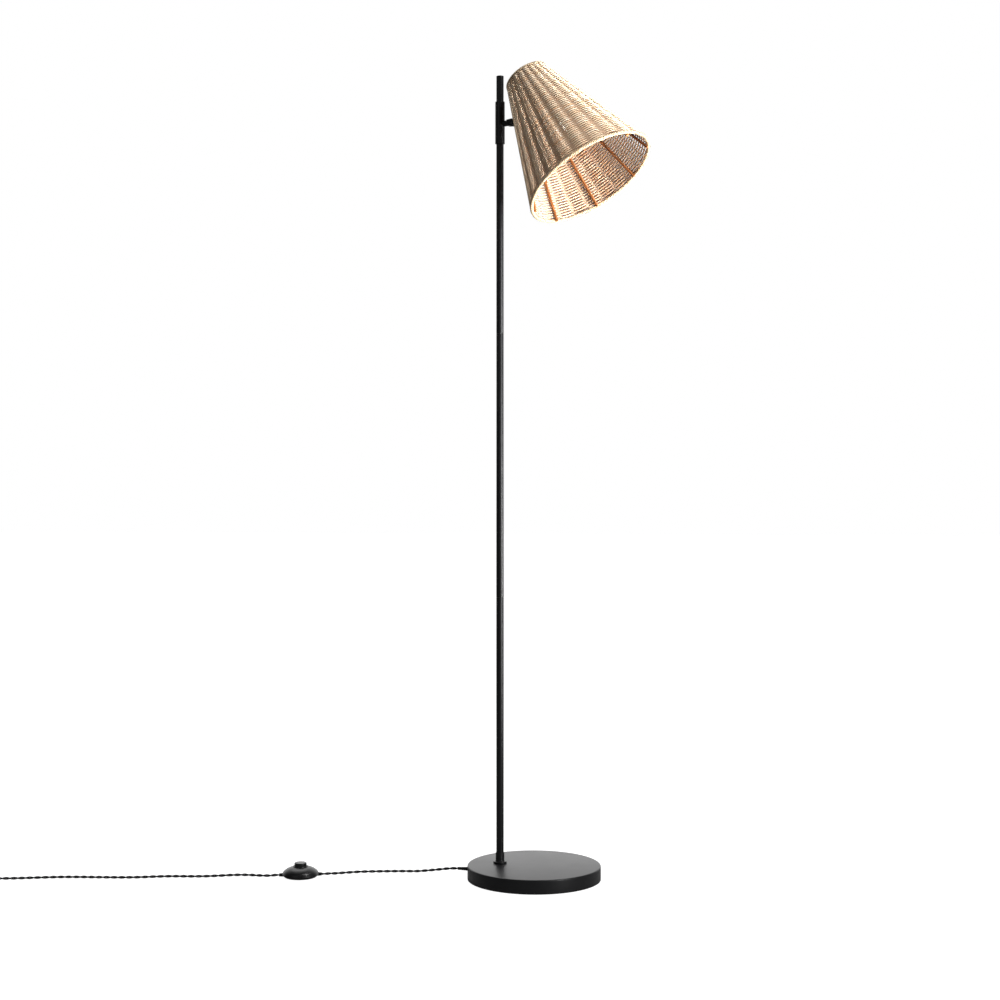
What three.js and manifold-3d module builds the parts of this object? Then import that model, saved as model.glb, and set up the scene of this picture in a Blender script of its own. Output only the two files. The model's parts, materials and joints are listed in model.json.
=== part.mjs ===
// Rattan floor lamp: a woven cone shade that turns and tilts on a slim pole, on an off-centre round base.
// Units are millimetres, +Z is up. The origin is the middle of the base's underside, and +X runs from
// the pole towards the base's middle. The shade's own frame has its origin at the narrow end.
import * as THREE from 'three';
import { mergeVertices } from 'three/addons/utils/BufferGeometryUtils.js';
import Module from 'manifold-3d';

const wasm = await Module();
wasm.setup();

// Clearances
const fitGap = 0.3; // between pieces that touch in the real lamp
const runGap = 0.2; // round a turning fit
const overrun = 2; // how far a cutter runs past what it cuts

// How finely round pieces are drawn
const smallSteps = 16;
const tubeSteps = 24;
const caseSteps = 30;
const hoopSteps = 40;
const baseSteps = 60;

// Base
const baseRadius = 125;
const baseHeight = 26.6;
const coverWall = 1.2;
const coverEdgeRadius = 2.5;
const coverLift = 0.8;
const padThickness = 2;
const padInset = 3;
const poleSetback = 65.5; // the pole stands this far behind the base's middle
const grooveWidth = 12;
const grooveTop = 18.5;
const nutPocketRadius = 14;
const nutPocketTop = 13.8;
const leadHeight = 12.5; // where the cord leaves the base's back

// Pole
const poleRadius = 7;
const poleWall = 1.7;
const lowerTubeTop = 527;
const middleTubeLength = 497;
const topTubeLength = 82.4; // the plain tube above the arm, with its end plug
const jointLength = 40;
const studRadius = 5;
const studBore = 2.2;
const studFoot = 8;
const studHead = 60;
const studNutHeight = 5;
const studNutRadius = 9.8;
const studNutFlange = 1.4;
const studNutFlangeRadius = 11;
const flangeRadius = 12.6;
const flangeThickness = 3.6;
const flangeBevel = 0.8;
const ferruleRadius = 8.2;
const ferruleFlare = 0.9;
const ferruleHeight = 16.2;
const ferruleFloor = 5.3;
const ferruleBevel = 0.6;
const endPlugThickness = 1.5;
const endPlugDepth = 8;

// Sleeve and knuckle
const headTurnAngle = THREE.MathUtils.degToRad(-18.7);
const armHeight = 1418.6;
const armDrop = 2.4; // the neck leaves the sleeve this far below its middle
const sleeveRadius = 9.1;
const sleeveWall = 1.1;
const sleeveLength = 79;
const sleeveBevel = 0.6;
const leadRoomBelow = 6; // from the lead's hole down to the lower tube
const leadRoomAbove = 8; // and up to the short top tube
const sleeveStudReach = 18;
const stopRingThickness = 3.2;
const stopRingRadius = 7.6;
const bushLowerLength = 29;
const bushUpperLength = 31;
const pivotReach = 27.5;
const neckRadius = 5.45;
const forkRadius = 6.5;
const forkRoot = 17;
const cheekThickness = 2.7;
const tongueThickness = 6.4;
const slotDepthGap = 0.6;
const hingeScrewRadius = 1.8;
const hingeHeadRadius = 3.3;
const hingeHeadHeight = 2;
const hingeNutRadius = 3.9;
const hingeNutHeight = 3;
const hingeScrewTail = 1;

// Head, measured with the shade's axis at its rest tilt
const headTiltAngle = THREE.MathUtils.degToRad(33.8);
const axisReach = 69.73; // from the hinge to the shade's axis, square to that axis
const topRise = 51.94; // from the hinge up to the shade's narrow end, along that axis
const stemRadius = 4.2;
const tongueRadius = 6.3;
const tongueTab = 8.4;
const tongueTabHeight = 8;
const tabLap = 1.2;
const stemNutRadius = 7.2;
const stemNutHeight = 3;
const stemTail = 1.6;

// Shade
const topHoopRadius = 40;
const bottomHoopRadius = 122.2;
const topHoopDrop = 3.4;
const hoopSpan = 240.2;
const weaveWall = 5.4; // over a stake
const weaveThinWall = 2; // half-way between two stakes
const stakesPerRib = 3;
const fluteSteps = 4;
const bindingRadius = 3.4;
const bindingWall = 0.8;
const bindingSlit = THREE.MathUtils.degToRad(40); // half the angle of the slit that the weave enters
const hoopRodRadius = 2;
const ribRadius = 2.5;
const ribCount = 8;
const ribStartAngle = THREE.MathUtils.degToRad(26);
const stemHoleClearance = 1.5;

// Lampholder and bulb, in distances down from the shade's narrow end
const cupTop = 31.14;
const cupBottom = 69.14;
const cupRadius = 20;
const cupWall = 1;
const cupShoulder = 6;
const socketRadius = 18.6;
const socketTop = 60.14;
const socketFloor = 63.64;
const socketBottom = 94.14;
const socketBore = 14.7;
const flangeDrop = 2;
const skirtRadius = 18.9;
const fitterThickness = 1.6;
const fitterRadius = 26;
const fitterArmWidth = 5;
const fitterArmCount = 4;
const holderRingHeight = 6;
const holderRingRadius = 25;
const shellRadius = 14.3;
const shellWall = 0.5;
const shellTop = 66.14;
const shellBottom = 91.14;
const contactRadius = 4;
const contactHeight = 1.2;
const bulbTip = 65.54;
const bulbTipRadius = 3.4;
const bulbCapTop = 67.14;
const bulbCapBottom = 91.74;
const bulbCapRadius = 13.2;
const bulbCapWall = 0.6;
const bulbNeckRadius = 12.2;
const bulbNeckLength = 7;
const bulbRadius = 22.5;
const bulbGlassWall = 0.8;
const bulbGlassLap = 3;

// Leads inside
const leadRadius = 1.25;
const leadBoreRadius = 1.65;
const leadBendRadius = 5;
const leadSides = 8;

// Cord, its foot switch and its plug
const cordRadius = 2.65;
const cordSides = 8;
const reliefLength = 22;
const reliefRadius = 3.8;
const reliefTipRadius = 2.8;
const reliefCollarRadius = 5.2;
const reliefRimRadius = 4.6;
const reliefCollarThickness = 1.6;
const switchRadius = 34.8;
const switchFootRadius = 29;
const switchSplit = 5;
const switchWall = 2;
const switchTurn = THREE.MathUtils.degToRad(18.4);
const switchPlace = new THREE.Vector3(-433.7, -77.5, 0);
const switchStubRadius = 3.3;
const switchStubTipRadius = 2.9;
const switchStubLength = 5.4; // beyond the case's widest edge
const switchStubRoot = 3; // and inside it
const switchStubHeight = 4.4;
const buttonRadius = 11.4;
const buttonTop = 27;
const buttonEdge = 1.2;
const buttonWall = 1.8;
const buttonFlangeRadius = 12.8;
const buttonFlangeHeight = 2;
const buttonTravel = 3.2;
const collarTop = 21;
const collarRadius = 13.7;
const domeUnderside = 17.5;
const contactBlockRadius = 12.4;
const springRadius = 5.5;
const springWire = 0.6;
const springTurns = 5;
const plugThickness = 13.4;
const plugFaceWidth = 26;
const plugLength = 36;
const plugBevel = 1.6;
const plugTailLength = 20;
const plugTailRadius = 4.6;
const plugTailTipRadius = 2.9;
const pinRadius = 2;
const pinLength = 19;
const pinSpacing = 19;

// Coil of the cord that lies out of sight
const coilCentre = new THREE.Vector2(-1018, -272);
const coilInnerRadius = 21.5;
const coilPitch = 5.9;
const coilLift = 1.35;
const coilStartAngle = THREE.MathUtils.degToRad(104);
const coilEndAngle = THREE.MathUtils.degToRad(180);
const coilTurns = 5;
const coilStepsPerTurn = 24;
const coilSides = 6;
const coilTailLength = 24;
const tieThickness = 0.9;
const tieWidth = 4;
const tieGap = 0.35;
const tieAngle = THREE.MathUtils.degToRad(285);

// Places worked out from the sizes above
const poleBore = poleRadius - poleWall;
const padRadius = baseRadius - padInset;
const coverInside = baseRadius - coverWall;
const coverUnderside = baseHeight - coverWall;
const weightBottom = padThickness + fitGap;
const weightTop = coverUnderside - fitGap;
const weightRadius = coverInside - fitGap;
const studHole = studRadius + fitGap;
const flangeFoot = baseHeight + fitGap;
const ferruleFoot = flangeFoot + flangeThickness + fitGap;
const ferruleTop = ferruleFoot + ferruleHeight;
const poleFoot = ferruleFoot + ferruleFloor + fitGap;
const upperTubeTop = armHeight - leadRoomBelow;
const stubFoot = armHeight + leadRoomAbove;
const poleTop = stubFoot + topTubeLength;
const jointHeights = [lowerTubeTop, lowerTubeTop + middleTubeLength];
const sleeveBore = sleeveRadius - sleeveWall;
const sleeveFoot = armHeight + armDrop - sleeveLength / 2;
const slotHalf = tongueThickness / 2 + fitGap;
const forkHalf = slotHalf + cheekThickness;
const slotBottom = pivotReach - forkRadius - slotDepthGap;
const bottomHoopDrop = topHoopDrop + hoopSpan;
const slantLength = Math.hypot(bottomHoopRadius - topHoopRadius, hoopSpan);
const slantSine = (bottomHoopRadius - topHoopRadius) / slantLength;
const slantCosine = hoopSpan / slantLength;
const lipReach = bindingRadius * Math.cos(bindingSlit);
const wallStart = lipReach + fitGap;
const wallEnd = slantLength - lipReach - fitGap;
const ribInset = weaveWall / 2 + fitGap + ribRadius;
const socketFlangeTop = cupBottom + fitGap;
const socketFlangeBottom = socketFlangeTop + flangeDrop;
const fitterTop = socketFlangeBottom + fitGap;
const fitterBottom = fitterTop + fitterThickness;
const holderRingTop = fitterBottom + fitGap;
const stemNutSeat = axisReach - Math.sqrt((cupRadius - cupWall) ** 2 - stemNutRadius ** 2) + fitGap;
const stemEnd = stemNutSeat + stemNutHeight + stemTail;
const reliefTip = -baseRadius - fitGap - reliefLength;
const coilSweep = 2 * Math.PI * coilTurns + coilEndAngle - coilStartAngle;
const coilOuterRadius = coilInnerRadius + (coilPitch * coilSweep) / (4 * Math.PI);
const switchStubReach = switchRadius + switchStubLength;
const cordFloor = cordRadius / Math.cos(Math.PI / cordSides);

// The cord's route, chosen by hand: from the base to the switch, and on to the coil
const routeToSwitch = [
  [reliefTip - fitGap, 0, leadHeight],
  [-158, 0, 12],
  [-170, 0, 10.7],
  [-184, 0.5, 8.6],
  [-200, 1.5, 6.2],
  [-216, 1, 4.2],
  [-232, -0.5, 3.1],
  [-250, -3, cordFloor],
  [-268, -7, cordFloor],
  [-286, -12, cordFloor],
  [-304, -17, cordFloor],
  [-322, -22.5, cordFloor],
  [-340, -30, cordFloor],
  [-356, -38.5, cordFloor],
  [-371, -47.5, 2.9],
  [-383, -56, 3.7],
];
const routeFromSwitch = [
  [-489, -94, 3.2],
  [-506, -95.5, cordFloor],
  [-525, -95.5, cordFloor],
  [-545, -98.5, cordFloor],
  [-564, -105, cordFloor],
  [-582, -113.5, cordFloor],
  [-600, -121, cordFloor],
  [-618, -126.5, cordFloor],
  [-637, -130.5, cordFloor],
  [-656, -134, cordFloor],
  [-675, -138.5, cordFloor],
  [-694, -145, cordFloor],
  [-713, -152.5, cordFloor],
  [-732, -159, cordFloor],
  [-751, -164, cordFloor],
  [-771, -168, cordFloor],
  [-791, -171.5, cordFloor],
  [-811, -175, cordFloor],
  [-831, -178.5, cordFloor],
  [-851, -182.5, cordFloor],
  [-871, -187.5, cordFloor],
  [-890, -193.5, cordFloor],
  [-909, -200.5, cordFloor],
  [-928, -207.5, cordFloor],
  [-947, -214, cordFloor],
  [-966, -219.5, cordFloor],
  [-985, -224.5, 3],
  [-1000, -228.5, 3.6],
];

// Materials
function paint(colour, roughness, metalness = 0) {
  return new THREE.MeshStandardMaterial({ color: colour, roughness, metalness, flatShading: true });
}
const blackPaint = paint(0x17171a, 0.42);
const cement = paint(0x8d8a84, 0.9);
const felt = paint(0x1c1c1d, 0.95);
const zincSteel = paint(0xa9adb0, 0.38, 1);
const brass = paint(0xc9a35a, 0.3, 1);
const nylon = paint(0xe7e4da, 0.55);
const blackPlastic = paint(0x0f0f11, 0.35);
const blackFabric = paint(0x111112, 0.9);
const leadCover = paint(0xd8d6d0, 0.5);
const rattan = paint(0xe3c69b, 0.65);
const rattanDark = paint(0xa8703c, 0.6);
const opalGlass = paint(0xf4f2ec, 0.18);

// Makes a geometry one closed surface: shared vertices are merged, flat triangles go and faces point out.
function closed(geometry) {
  const plain = geometry.clone();
  for (const name of Object.keys(plain.attributes)) {
    if (name !== 'position') plain.deleteAttribute(name);
  }
  const merged = mergeVertices(plain);
  const place = merged.attributes.position;
  const corners = [];
  const [a, b, c] = [new THREE.Vector3(), new THREE.Vector3(), new THREE.Vector3()];
  let volume = 0;
  for (let i = 0; i < merged.index.count; i += 3) {
    const [p, q, r] = [0, 1, 2].map((k) => merged.index.getX(i + k));
    if (p === q || q === r || r === p) continue;
    corners.push([p, q, r]);
    a.fromBufferAttribute(place, p);
    b.fromBufferAttribute(place, q);
    c.fromBufferAttribute(place, r);
    volume += a.dot(b.cross(c));
  }
  merged.setIndex(corners.flatMap(([p, q, r]) => (volume < 0 ? [p, r, q] : [p, q, r])));
  return merged;
}

function toSolid(geometry) {
  return new wasm.Manifold(new wasm.Mesh({
    numProp: 3,
    vertProperties: new Float32Array(geometry.attributes.position.array),
    triVerts: new Uint32Array(geometry.index.array),
  }));
}

function fromSolid(solid) {
  const mesh = solid.getMesh();
  const geometry = new THREE.BufferGeometry();
  geometry.setAttribute('position', new THREE.BufferAttribute(mesh.vertProperties, 3));
  geometry.setIndex(new THREE.BufferAttribute(mesh.triVerts, 1));
  return geometry;
}

function join(...pieces) {
  return fromSolid(pieces.map(toSolid).reduce((sum, piece) => sum.add(piece)));
}

function cut(body, ...cutters) {
  return fromSolid(cutters.map(toSolid).reduce((rest, cutter) => rest.subtract(cutter), toSolid(body)));
}

// A turned piece about Z. Its profile is a list of [radius, height].
function turned(profile, steps = tubeSteps) {
  const points = profile.map(([radius, height]) => new THREE.Vector2(radius, height));
  return closed(new THREE.LatheGeometry(points, steps).rotateX(Math.PI / 2));
}

function rod(radius, bottom, top, steps = tubeSteps) {
  return turned([[0, bottom], [radius, bottom], [radius, top], [0, top]], steps);
}

function pipe(inner, outer, bottom, top, steps = tubeSteps) {
  return turned([[inner, bottom], [outer, bottom], [outer, top], [inner, top], [inner, bottom]], steps);
}

// A rod, pipe or other turned piece laid along X or Y instead of Z
const alongX = (geometry) => geometry.rotateY(Math.PI / 2);
const alongY = (geometry) => geometry.rotateX(-Math.PI / 2);

function hexagon(radius, bottom, top) {
  return rod(radius, bottom, top, 6);
}

function block(x, y, z) {
  const sizes = [x, y, z].map(([low, high]) => high - low);
  const middles = [x, y, z].map(([low, high]) => (high + low) / 2);
  return closed(new THREE.BoxGeometry(...sizes).translate(...middles));
}

// An outline in the XZ plane, given thickness along Y about zero
function plate(shape, thickness, steps = smallSteps) {
  const solid = new THREE.ExtrudeGeometry(shape, { depth: thickness, bevelEnabled: false, curveSegments: steps });
  return closed(solid.translate(0, 0, -thickness / 2).rotateX(Math.PI / 2));
}

// A closed tube through points, with flat ends. The steady direction is never along the route.
function sweep(points, radius, sides, steady) {
  const places = [];
  const faces = [];
  points.forEach((point, i) => {
    const back = points[Math.max(i - 1, 0)];
    const ahead = points[Math.min(i + 1, points.length - 1)];
    const along = ahead.clone().sub(back).normalize();
    const side = new THREE.Vector3().crossVectors(steady, along).normalize();
    const rise = new THREE.Vector3().crossVectors(along, side);
    for (let k = 0; k < sides; k += 1) {
      const turn = (2 * Math.PI * (k + 0.5)) / sides;
      const corner = point.clone()
        .addScaledVector(side, radius * Math.cos(turn))
        .addScaledVector(rise, radius * Math.sin(turn));
      places.push(...corner.toArray());
      if (i === 0) continue;
      const [here, next] = [i * sides + k, i * sides + ((k + 1) % sides)];
      faces.push(here - sides, next - sides, next, here - sides, next, here);
    }
  });
  const last = (points.length - 1) * sides;
  for (let k = 1; k < sides - 1; k += 1) {
    faces.push(0, k + 1, k, last, last + k, last + k + 1);
  }
  const geometry = new THREE.BufferGeometry();
  geometry.setAttribute('position', new THREE.Float32BufferAttribute(places, 3));
  geometry.setIndex(faces);
  return closed(geometry);
}

const upward = new THREE.Vector3(0, 0, 1);
const sideways = new THREE.Vector3(0, 1, 0);

function addTo(group, name, geometry, material) {
  const mesh = new THREE.Mesh(geometry, material);
  mesh.name = name;
  group.add(mesh);
  return mesh;
}

function quarterArc(centreRadius, centreHeight, radius, steps = 2) {
  return Array.from({ length: steps + 1 }, (_, i) => {
    const turn = (Math.PI / 2) * (1 - i / steps);
    return [centreRadius + radius * Math.cos(turn), centreHeight + radius * Math.sin(turn)];
  });
}

// The base: painted cover, cement weight with a groove for the lead, and a pad underneath
function makeBase(lamp) {
  const outer = quarterArc(baseRadius - coverEdgeRadius, baseHeight - coverEdgeRadius, coverEdgeRadius);
  const inner = quarterArc(baseRadius - coverEdgeRadius, baseHeight - coverEdgeRadius,
    coverEdgeRadius - coverWall);
  const cover = turned([
    [0, baseHeight], ...outer, [baseRadius, coverLift], [coverInside, coverLift],
    ...inner.reverse(), [0, coverUnderside],
  ], baseSteps);
  const poleHole = rod(studHole, coverUnderside - overrun, baseHeight + overrun).translate(-poleSetback, 0, 0);
  const leadHole = alongX(rod(reliefRadius + fitGap, -baseRadius - overrun, -coverInside + overrun, smallSteps))
    .translate(0, 0, leadHeight);
  addTo(lamp, 'base_cover', cut(cover, poleHole, leadHole), blackPaint);

  const weight = turned([
    [0, weightBottom], [weightRadius, weightBottom],
    [weightRadius, weightTop - coverEdgeRadius], [weightRadius - coverEdgeRadius, weightTop], [0, weightTop],
  ], baseSteps);
  const groove = block([-baseRadius, -poleSetback], [-grooveWidth / 2, grooveWidth / 2],
    [weightBottom - overrun, grooveTop]);
  const pocket = rod(nutPocketRadius, weightBottom - overrun, nutPocketTop).translate(-poleSetback, 0, 0);
  const studWay = rod(studHole, nutPocketTop - overrun, weightTop + overrun).translate(-poleSetback, 0, 0);
  addTo(lamp, 'base_weight', cut(weight, groove, pocket, studWay), cement);
  addTo(lamp, 'base_pad', rod(padRadius, 0, padThickness, baseSteps), felt);
}

// What stands on the base: stud, nut and washer, foot, tubes, their joint, and the plain top length
function makePole(pole) {
  addTo(pole, 'pole_stud', pipe(studBore, studRadius, studFoot, studHead), zincSteel);
  const nutTop = nutPocketTop - fitGap;
  const nut = join(hexagon(studNutRadius, nutTop - studNutHeight, nutTop),
    rod(studNutFlangeRadius, nutTop - studNutFlange, nutTop));
  const thread = rod(studHole, nutTop - studNutHeight - overrun, nutTop + overrun);
  addTo(pole, 'stud_nut', cut(nut, thread), zincSteel);

  const flangeTop = flangeFoot + flangeThickness;
  addTo(pole, 'foot_flange', turned([
    [studHole, flangeFoot], [flangeRadius, flangeFoot], [flangeRadius, flangeTop - flangeBevel],
    [flangeRadius - flangeBevel, flangeTop], [studHole, flangeTop], [studHole, flangeFoot],
  ]), blackPaint);
  const socketFoot = ferruleFoot + ferruleFloor;
  addTo(pole, 'foot_ferrule', turned([
    [studHole, ferruleFoot], [ferruleRadius + ferruleFlare, ferruleFoot],
    [ferruleRadius, ferruleFoot + 2 * ferruleFlare], [ferruleRadius, ferruleTop - ferruleBevel],
    [ferruleRadius - ferruleBevel, ferruleTop], [poleRadius + fitGap, ferruleTop],
    [poleRadius + fitGap, socketFoot], [studHole, socketFoot], [studHole, ferruleFoot],
  ]), blackPaint);

  const tubeEnds = [poleFoot - fitGap / 2, ...jointHeights, upperTubeTop + fitGap / 2];
  ['lower', 'middle', 'upper'].forEach((place, i) => {
    addTo(pole, `pole_${place}_tube`, pipe(poleBore, poleRadius,
      tubeEnds[i] + fitGap / 2, tubeEnds[i + 1] - fitGap / 2), blackPaint);
  });
  ['lower', 'upper'].forEach((place, i) => {
    addTo(pole, `pole_${place}_joint`, pipe(studBore, studRadius,
      jointHeights[i] - jointLength / 2, jointHeights[i] + jointLength / 2), zincSteel);
  });

  const sleeveStud = pipe(studBore, studRadius, upperTubeTop - sleeveStudReach, stubFoot + sleeveStudReach);
  const leadExit = alongX(rod(leadBoreRadius, 0, studRadius + overrun, smallSteps))
    .translate(0, 0, armHeight).rotateZ(headTurnAngle);
  addTo(pole, 'sleeve_stud', cut(sleeveStud, leadExit), zincSteel);
  addTo(pole, 'stop_ring', pipe(studHole, stopRingRadius,
    stubFoot - fitGap - stopRingThickness, stubFoot - fitGap), zincSteel);

  const plugFoot = poleTop - endPlugThickness;
  addTo(pole, 'pole_top_tube', pipe(poleBore, poleRadius, stubFoot, plugFoot - fitGap), blackPaint);
  addTo(pole, 'pole_end_plug', turned([
    [0, plugFoot - endPlugDepth], [poleBore - fitGap, plugFoot - endPlugDepth],
    [poleBore - fitGap, plugFoot], [poleRadius, plugFoot], [poleRadius, poleTop], [0, poleTop],
  ]), blackPaint);
}

// The lead inside the base and the pole, from the strain relief to the sleeve's stud
function makeInnerLead(lamp) {
  const low = weightBottom + leadRadius + fitGap;
  const bendStart = -poleSetback - leadBendRadius;
  const start = -coverInside + fitGap + reliefCollarThickness + fitGap;
  const dip = new THREE.CatmullRomCurve3([
    new THREE.Vector3(start, 0, leadHeight),
    new THREE.Vector3((3 * start + bendStart) / 4, 0, leadHeight),
    new THREE.Vector3((start + bendStart) / 2, 0, (leadHeight + low) / 2),
    new THREE.Vector3((start + 3 * bendStart) / 4, 0, low),
    new THREE.Vector3(bendStart, 0, low),
  ]);
  const bend = Array.from({ length: 8 }, (_, i) => {
    const turn = ((i + 1) / 8) * (Math.PI / 2);
    return new THREE.Vector3(bendStart + leadBendRadius * Math.sin(turn), 0,
      low + leadBendRadius * (1 - Math.cos(turn)));
  });
  const top = new THREE.Vector3(-poleSetback, 0, armHeight + leadRadius);
  addTo(lamp, 'inner_lead', sweep([...dip.getPoints(16), ...bend, top], leadRadius, leadSides, sideways),
    leadCover);
}

// The sleeve with its neck and fork, the bushes it turns on, the hinge screw, and the lead in the neck
function makeSleeve(turn) {
  const low = armDrop - sleeveLength / 2;
  const high = low + sleeveLength;
  const barrel = turned([
    [0, low], [sleeveRadius - sleeveBevel, low], [sleeveRadius, low + sleeveBevel],
    [sleeveRadius, high - sleeveBevel], [sleeveRadius - sleeveBevel, high], [0, high],
  ]);
  const neck = alongX(rod(neckRadius, 0, forkRoot + overrun));
  const outline = new THREE.Shape();
  outline.moveTo(forkRoot, -neckRadius);
  outline.lineTo(pivotReach, -forkRadius);
  outline.absarc(pivotReach, 0, forkRadius, -Math.PI / 2, Math.PI / 2, false);
  outline.lineTo(forkRoot, neckRadius);
  outline.closePath();
  const fork = plate(outline, 2 * forkHalf);
  const bore = rod(sleeveBore, low - overrun, high + overrun);
  const slot = block([slotBottom, pivotReach + forkRadius + overrun], [-slotHalf, slotHalf],
    [-forkRadius - overrun, forkRadius + overrun]);
  const leadWay = alongX(rod(leadBoreRadius, 0, slotBottom + overrun, smallSteps));
  const screwWay = alongY(rod(hingeScrewRadius + fitGap, -forkHalf - overrun, forkHalf + overrun, smallSteps))
    .translate(pivotReach, 0, 0);
  const sleeve = cut(join(barrel, neck, fork), bore, slot, leadWay, screwWay);
  addTo(turn, 'swivel_sleeve', sleeve.translate(0, 0, armHeight), blackPaint);

  const bushInner = poleRadius + runGap;
  const bushOuter = sleeveBore - runGap;
  addTo(turn, 'bush_lower', pipe(bushInner, bushOuter, sleeveFoot + fitGap,
    sleeveFoot + fitGap + bushLowerLength), nylon);
  addTo(turn, 'bush_upper', pipe(bushInner, bushOuter, stubFoot, stubFoot + bushUpperLength), nylon);

  const tail = -forkHalf - fitGap - hingeNutHeight - hingeScrewTail;
  const head = forkHalf + fitGap;
  const screw = alongY(turned([
    [0, tail], [hingeScrewRadius, tail], [hingeScrewRadius, head], [hingeHeadRadius, head],
    [hingeHeadRadius, head + hingeHeadHeight], [0, head + hingeHeadHeight],
  ], smallSteps));
  addTo(turn, 'hinge_screw', screw.translate(pivotReach, 0, armHeight), blackPaint);
  const nutNear = forkHalf + fitGap;
  const nut = alongY(cut(hexagon(hingeNutRadius, -nutNear - hingeNutHeight, -nutNear),
    rod(hingeScrewRadius + fitGap, -nutNear - hingeNutHeight - overrun, -nutNear + overrun, smallSteps)));
  addTo(turn, 'hinge_nut', nut.translate(pivotReach, 0, armHeight), blackPaint);
  const lead = alongX(rod(leadRadius, studRadius + fitGap, slotBottom - fitGap, leadSides));
  addTo(turn, 'neck_lead', lead.translate(0, 0, armHeight), leadCover);
}

// The tongue with its stem, the nut inside the cup, and the lead in the stem
function makeTongue(head) {
  const outline = new THREE.Shape();
  outline.moveTo(tongueTab + tabLap, -tongueTabHeight / 2);
  outline.lineTo(tongueTab + tabLap, tongueTabHeight / 2);
  outline.lineTo(0, tongueRadius);
  outline.absarc(0, 0, tongueRadius, Math.PI / 2, (3 * Math.PI) / 2, false);
  outline.closePath();
  const eye = plate(outline, tongueThickness);
  const stem = alongX(rod(stemRadius, tongueTab, stemEnd));
  const screwWay = alongY(rod(hingeScrewRadius + fitGap, -forkHalf, forkHalf, smallSteps));
  const leadWay = alongX(rod(leadBoreRadius, tongueTab, stemEnd + overrun, smallSteps));
  addTo(head, 'knuckle_tongue', cut(join(eye, stem), screwWay, leadWay), blackPaint);

  const nut = alongX(cut(hexagon(stemNutRadius, stemNutSeat, stemNutSeat + stemNutHeight),
    rod(stemRadius + fitGap, stemNutSeat - overrun, stemNutSeat + stemNutHeight + overrun)));
  addTo(head, 'stem_nut', nut, zincSteel);
  addTo(head, 'stem_lead', alongX(rod(leadRadius, tongueTab + tabLap, stemEnd, leadSides)), leadCover);
}

// A point beside the shade's wall line: distance down the slant from the top hoop, and out from the line
function besideWall(down, out) {
  return [
    topHoopRadius + down * slantSine + out * slantCosine,
    -topHoopDrop - down * slantCosine + out * slantSine,
  ];
}

// A wrapped rim: a C-shaped section round a hoop, open towards the weave
function wrappedRim(down, openTowards) {
  const outerShares = Array.from({ length: 8 }, (_, i) => i / 7);
  const innerShares = Array.from({ length: 5 }, (_, i) => 1 - i / 4);
  const open = 2 * Math.PI - 2 * bindingSlit;
  const place = (radius, share) => {
    const turn = bindingSlit + share * open;
    return besideWall(down + openTowards * radius * Math.cos(turn), radius * Math.sin(turn));
  };
  const section = [
    ...outerShares.map((share) => place(bindingRadius, share)),
    ...innerShares.map((share) => place(bindingRadius - bindingWall, share)),
  ];
  return turned([...section, section[0]], hoopSteps);
}

function hoop(down) {
  const sides = 6;
  const section = Array.from({ length: sides + 1 }, (_, i) => {
    const turn = (2 * Math.PI * i) / sides;
    return besideWall(down + hoopRodRadius * Math.cos(turn), hoopRodRadius * Math.sin(turn));
  });
  return turned(section, hoopSteps);
}

// The woven wall, which bulges on both sides over each stake
function flutedWall() {
  const steps = ribCount * stakesPerRib * fluteSteps;
  const places = [];
  const faces = [];
  for (let k = 0; k < steps; k += 1) {
    const turn = ribStartAngle + (2 * Math.PI * k) / steps;
    const bulge = Math.cos((Math.PI * k) / fluteSteps) ** 2;
    const half = (weaveThinWall + (weaveWall - weaveThinWall) * bulge) / 2;
    for (const [down, side] of [[wallStart, 1], [wallEnd, 1], [wallEnd, -1], [wallStart, -1]]) {
      const [radius, height] = besideWall(down, side * half);
      places.push(radius * Math.cos(turn), radius * Math.sin(turn), height);
    }
    const [here, next] = [4 * k, 4 * ((k + 1) % steps)];
    for (let i = 0; i < 4; i += 1) {
      const j = (i + 1) % 4;
      faces.push(here + i, next + i, next + j, here + i, next + j, here + j);
    }
  }
  const geometry = new THREE.BufferGeometry();
  geometry.setAttribute('position', new THREE.Float32BufferAttribute(places, 3));
  geometry.setIndex(faces);
  return closed(geometry);
}

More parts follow.
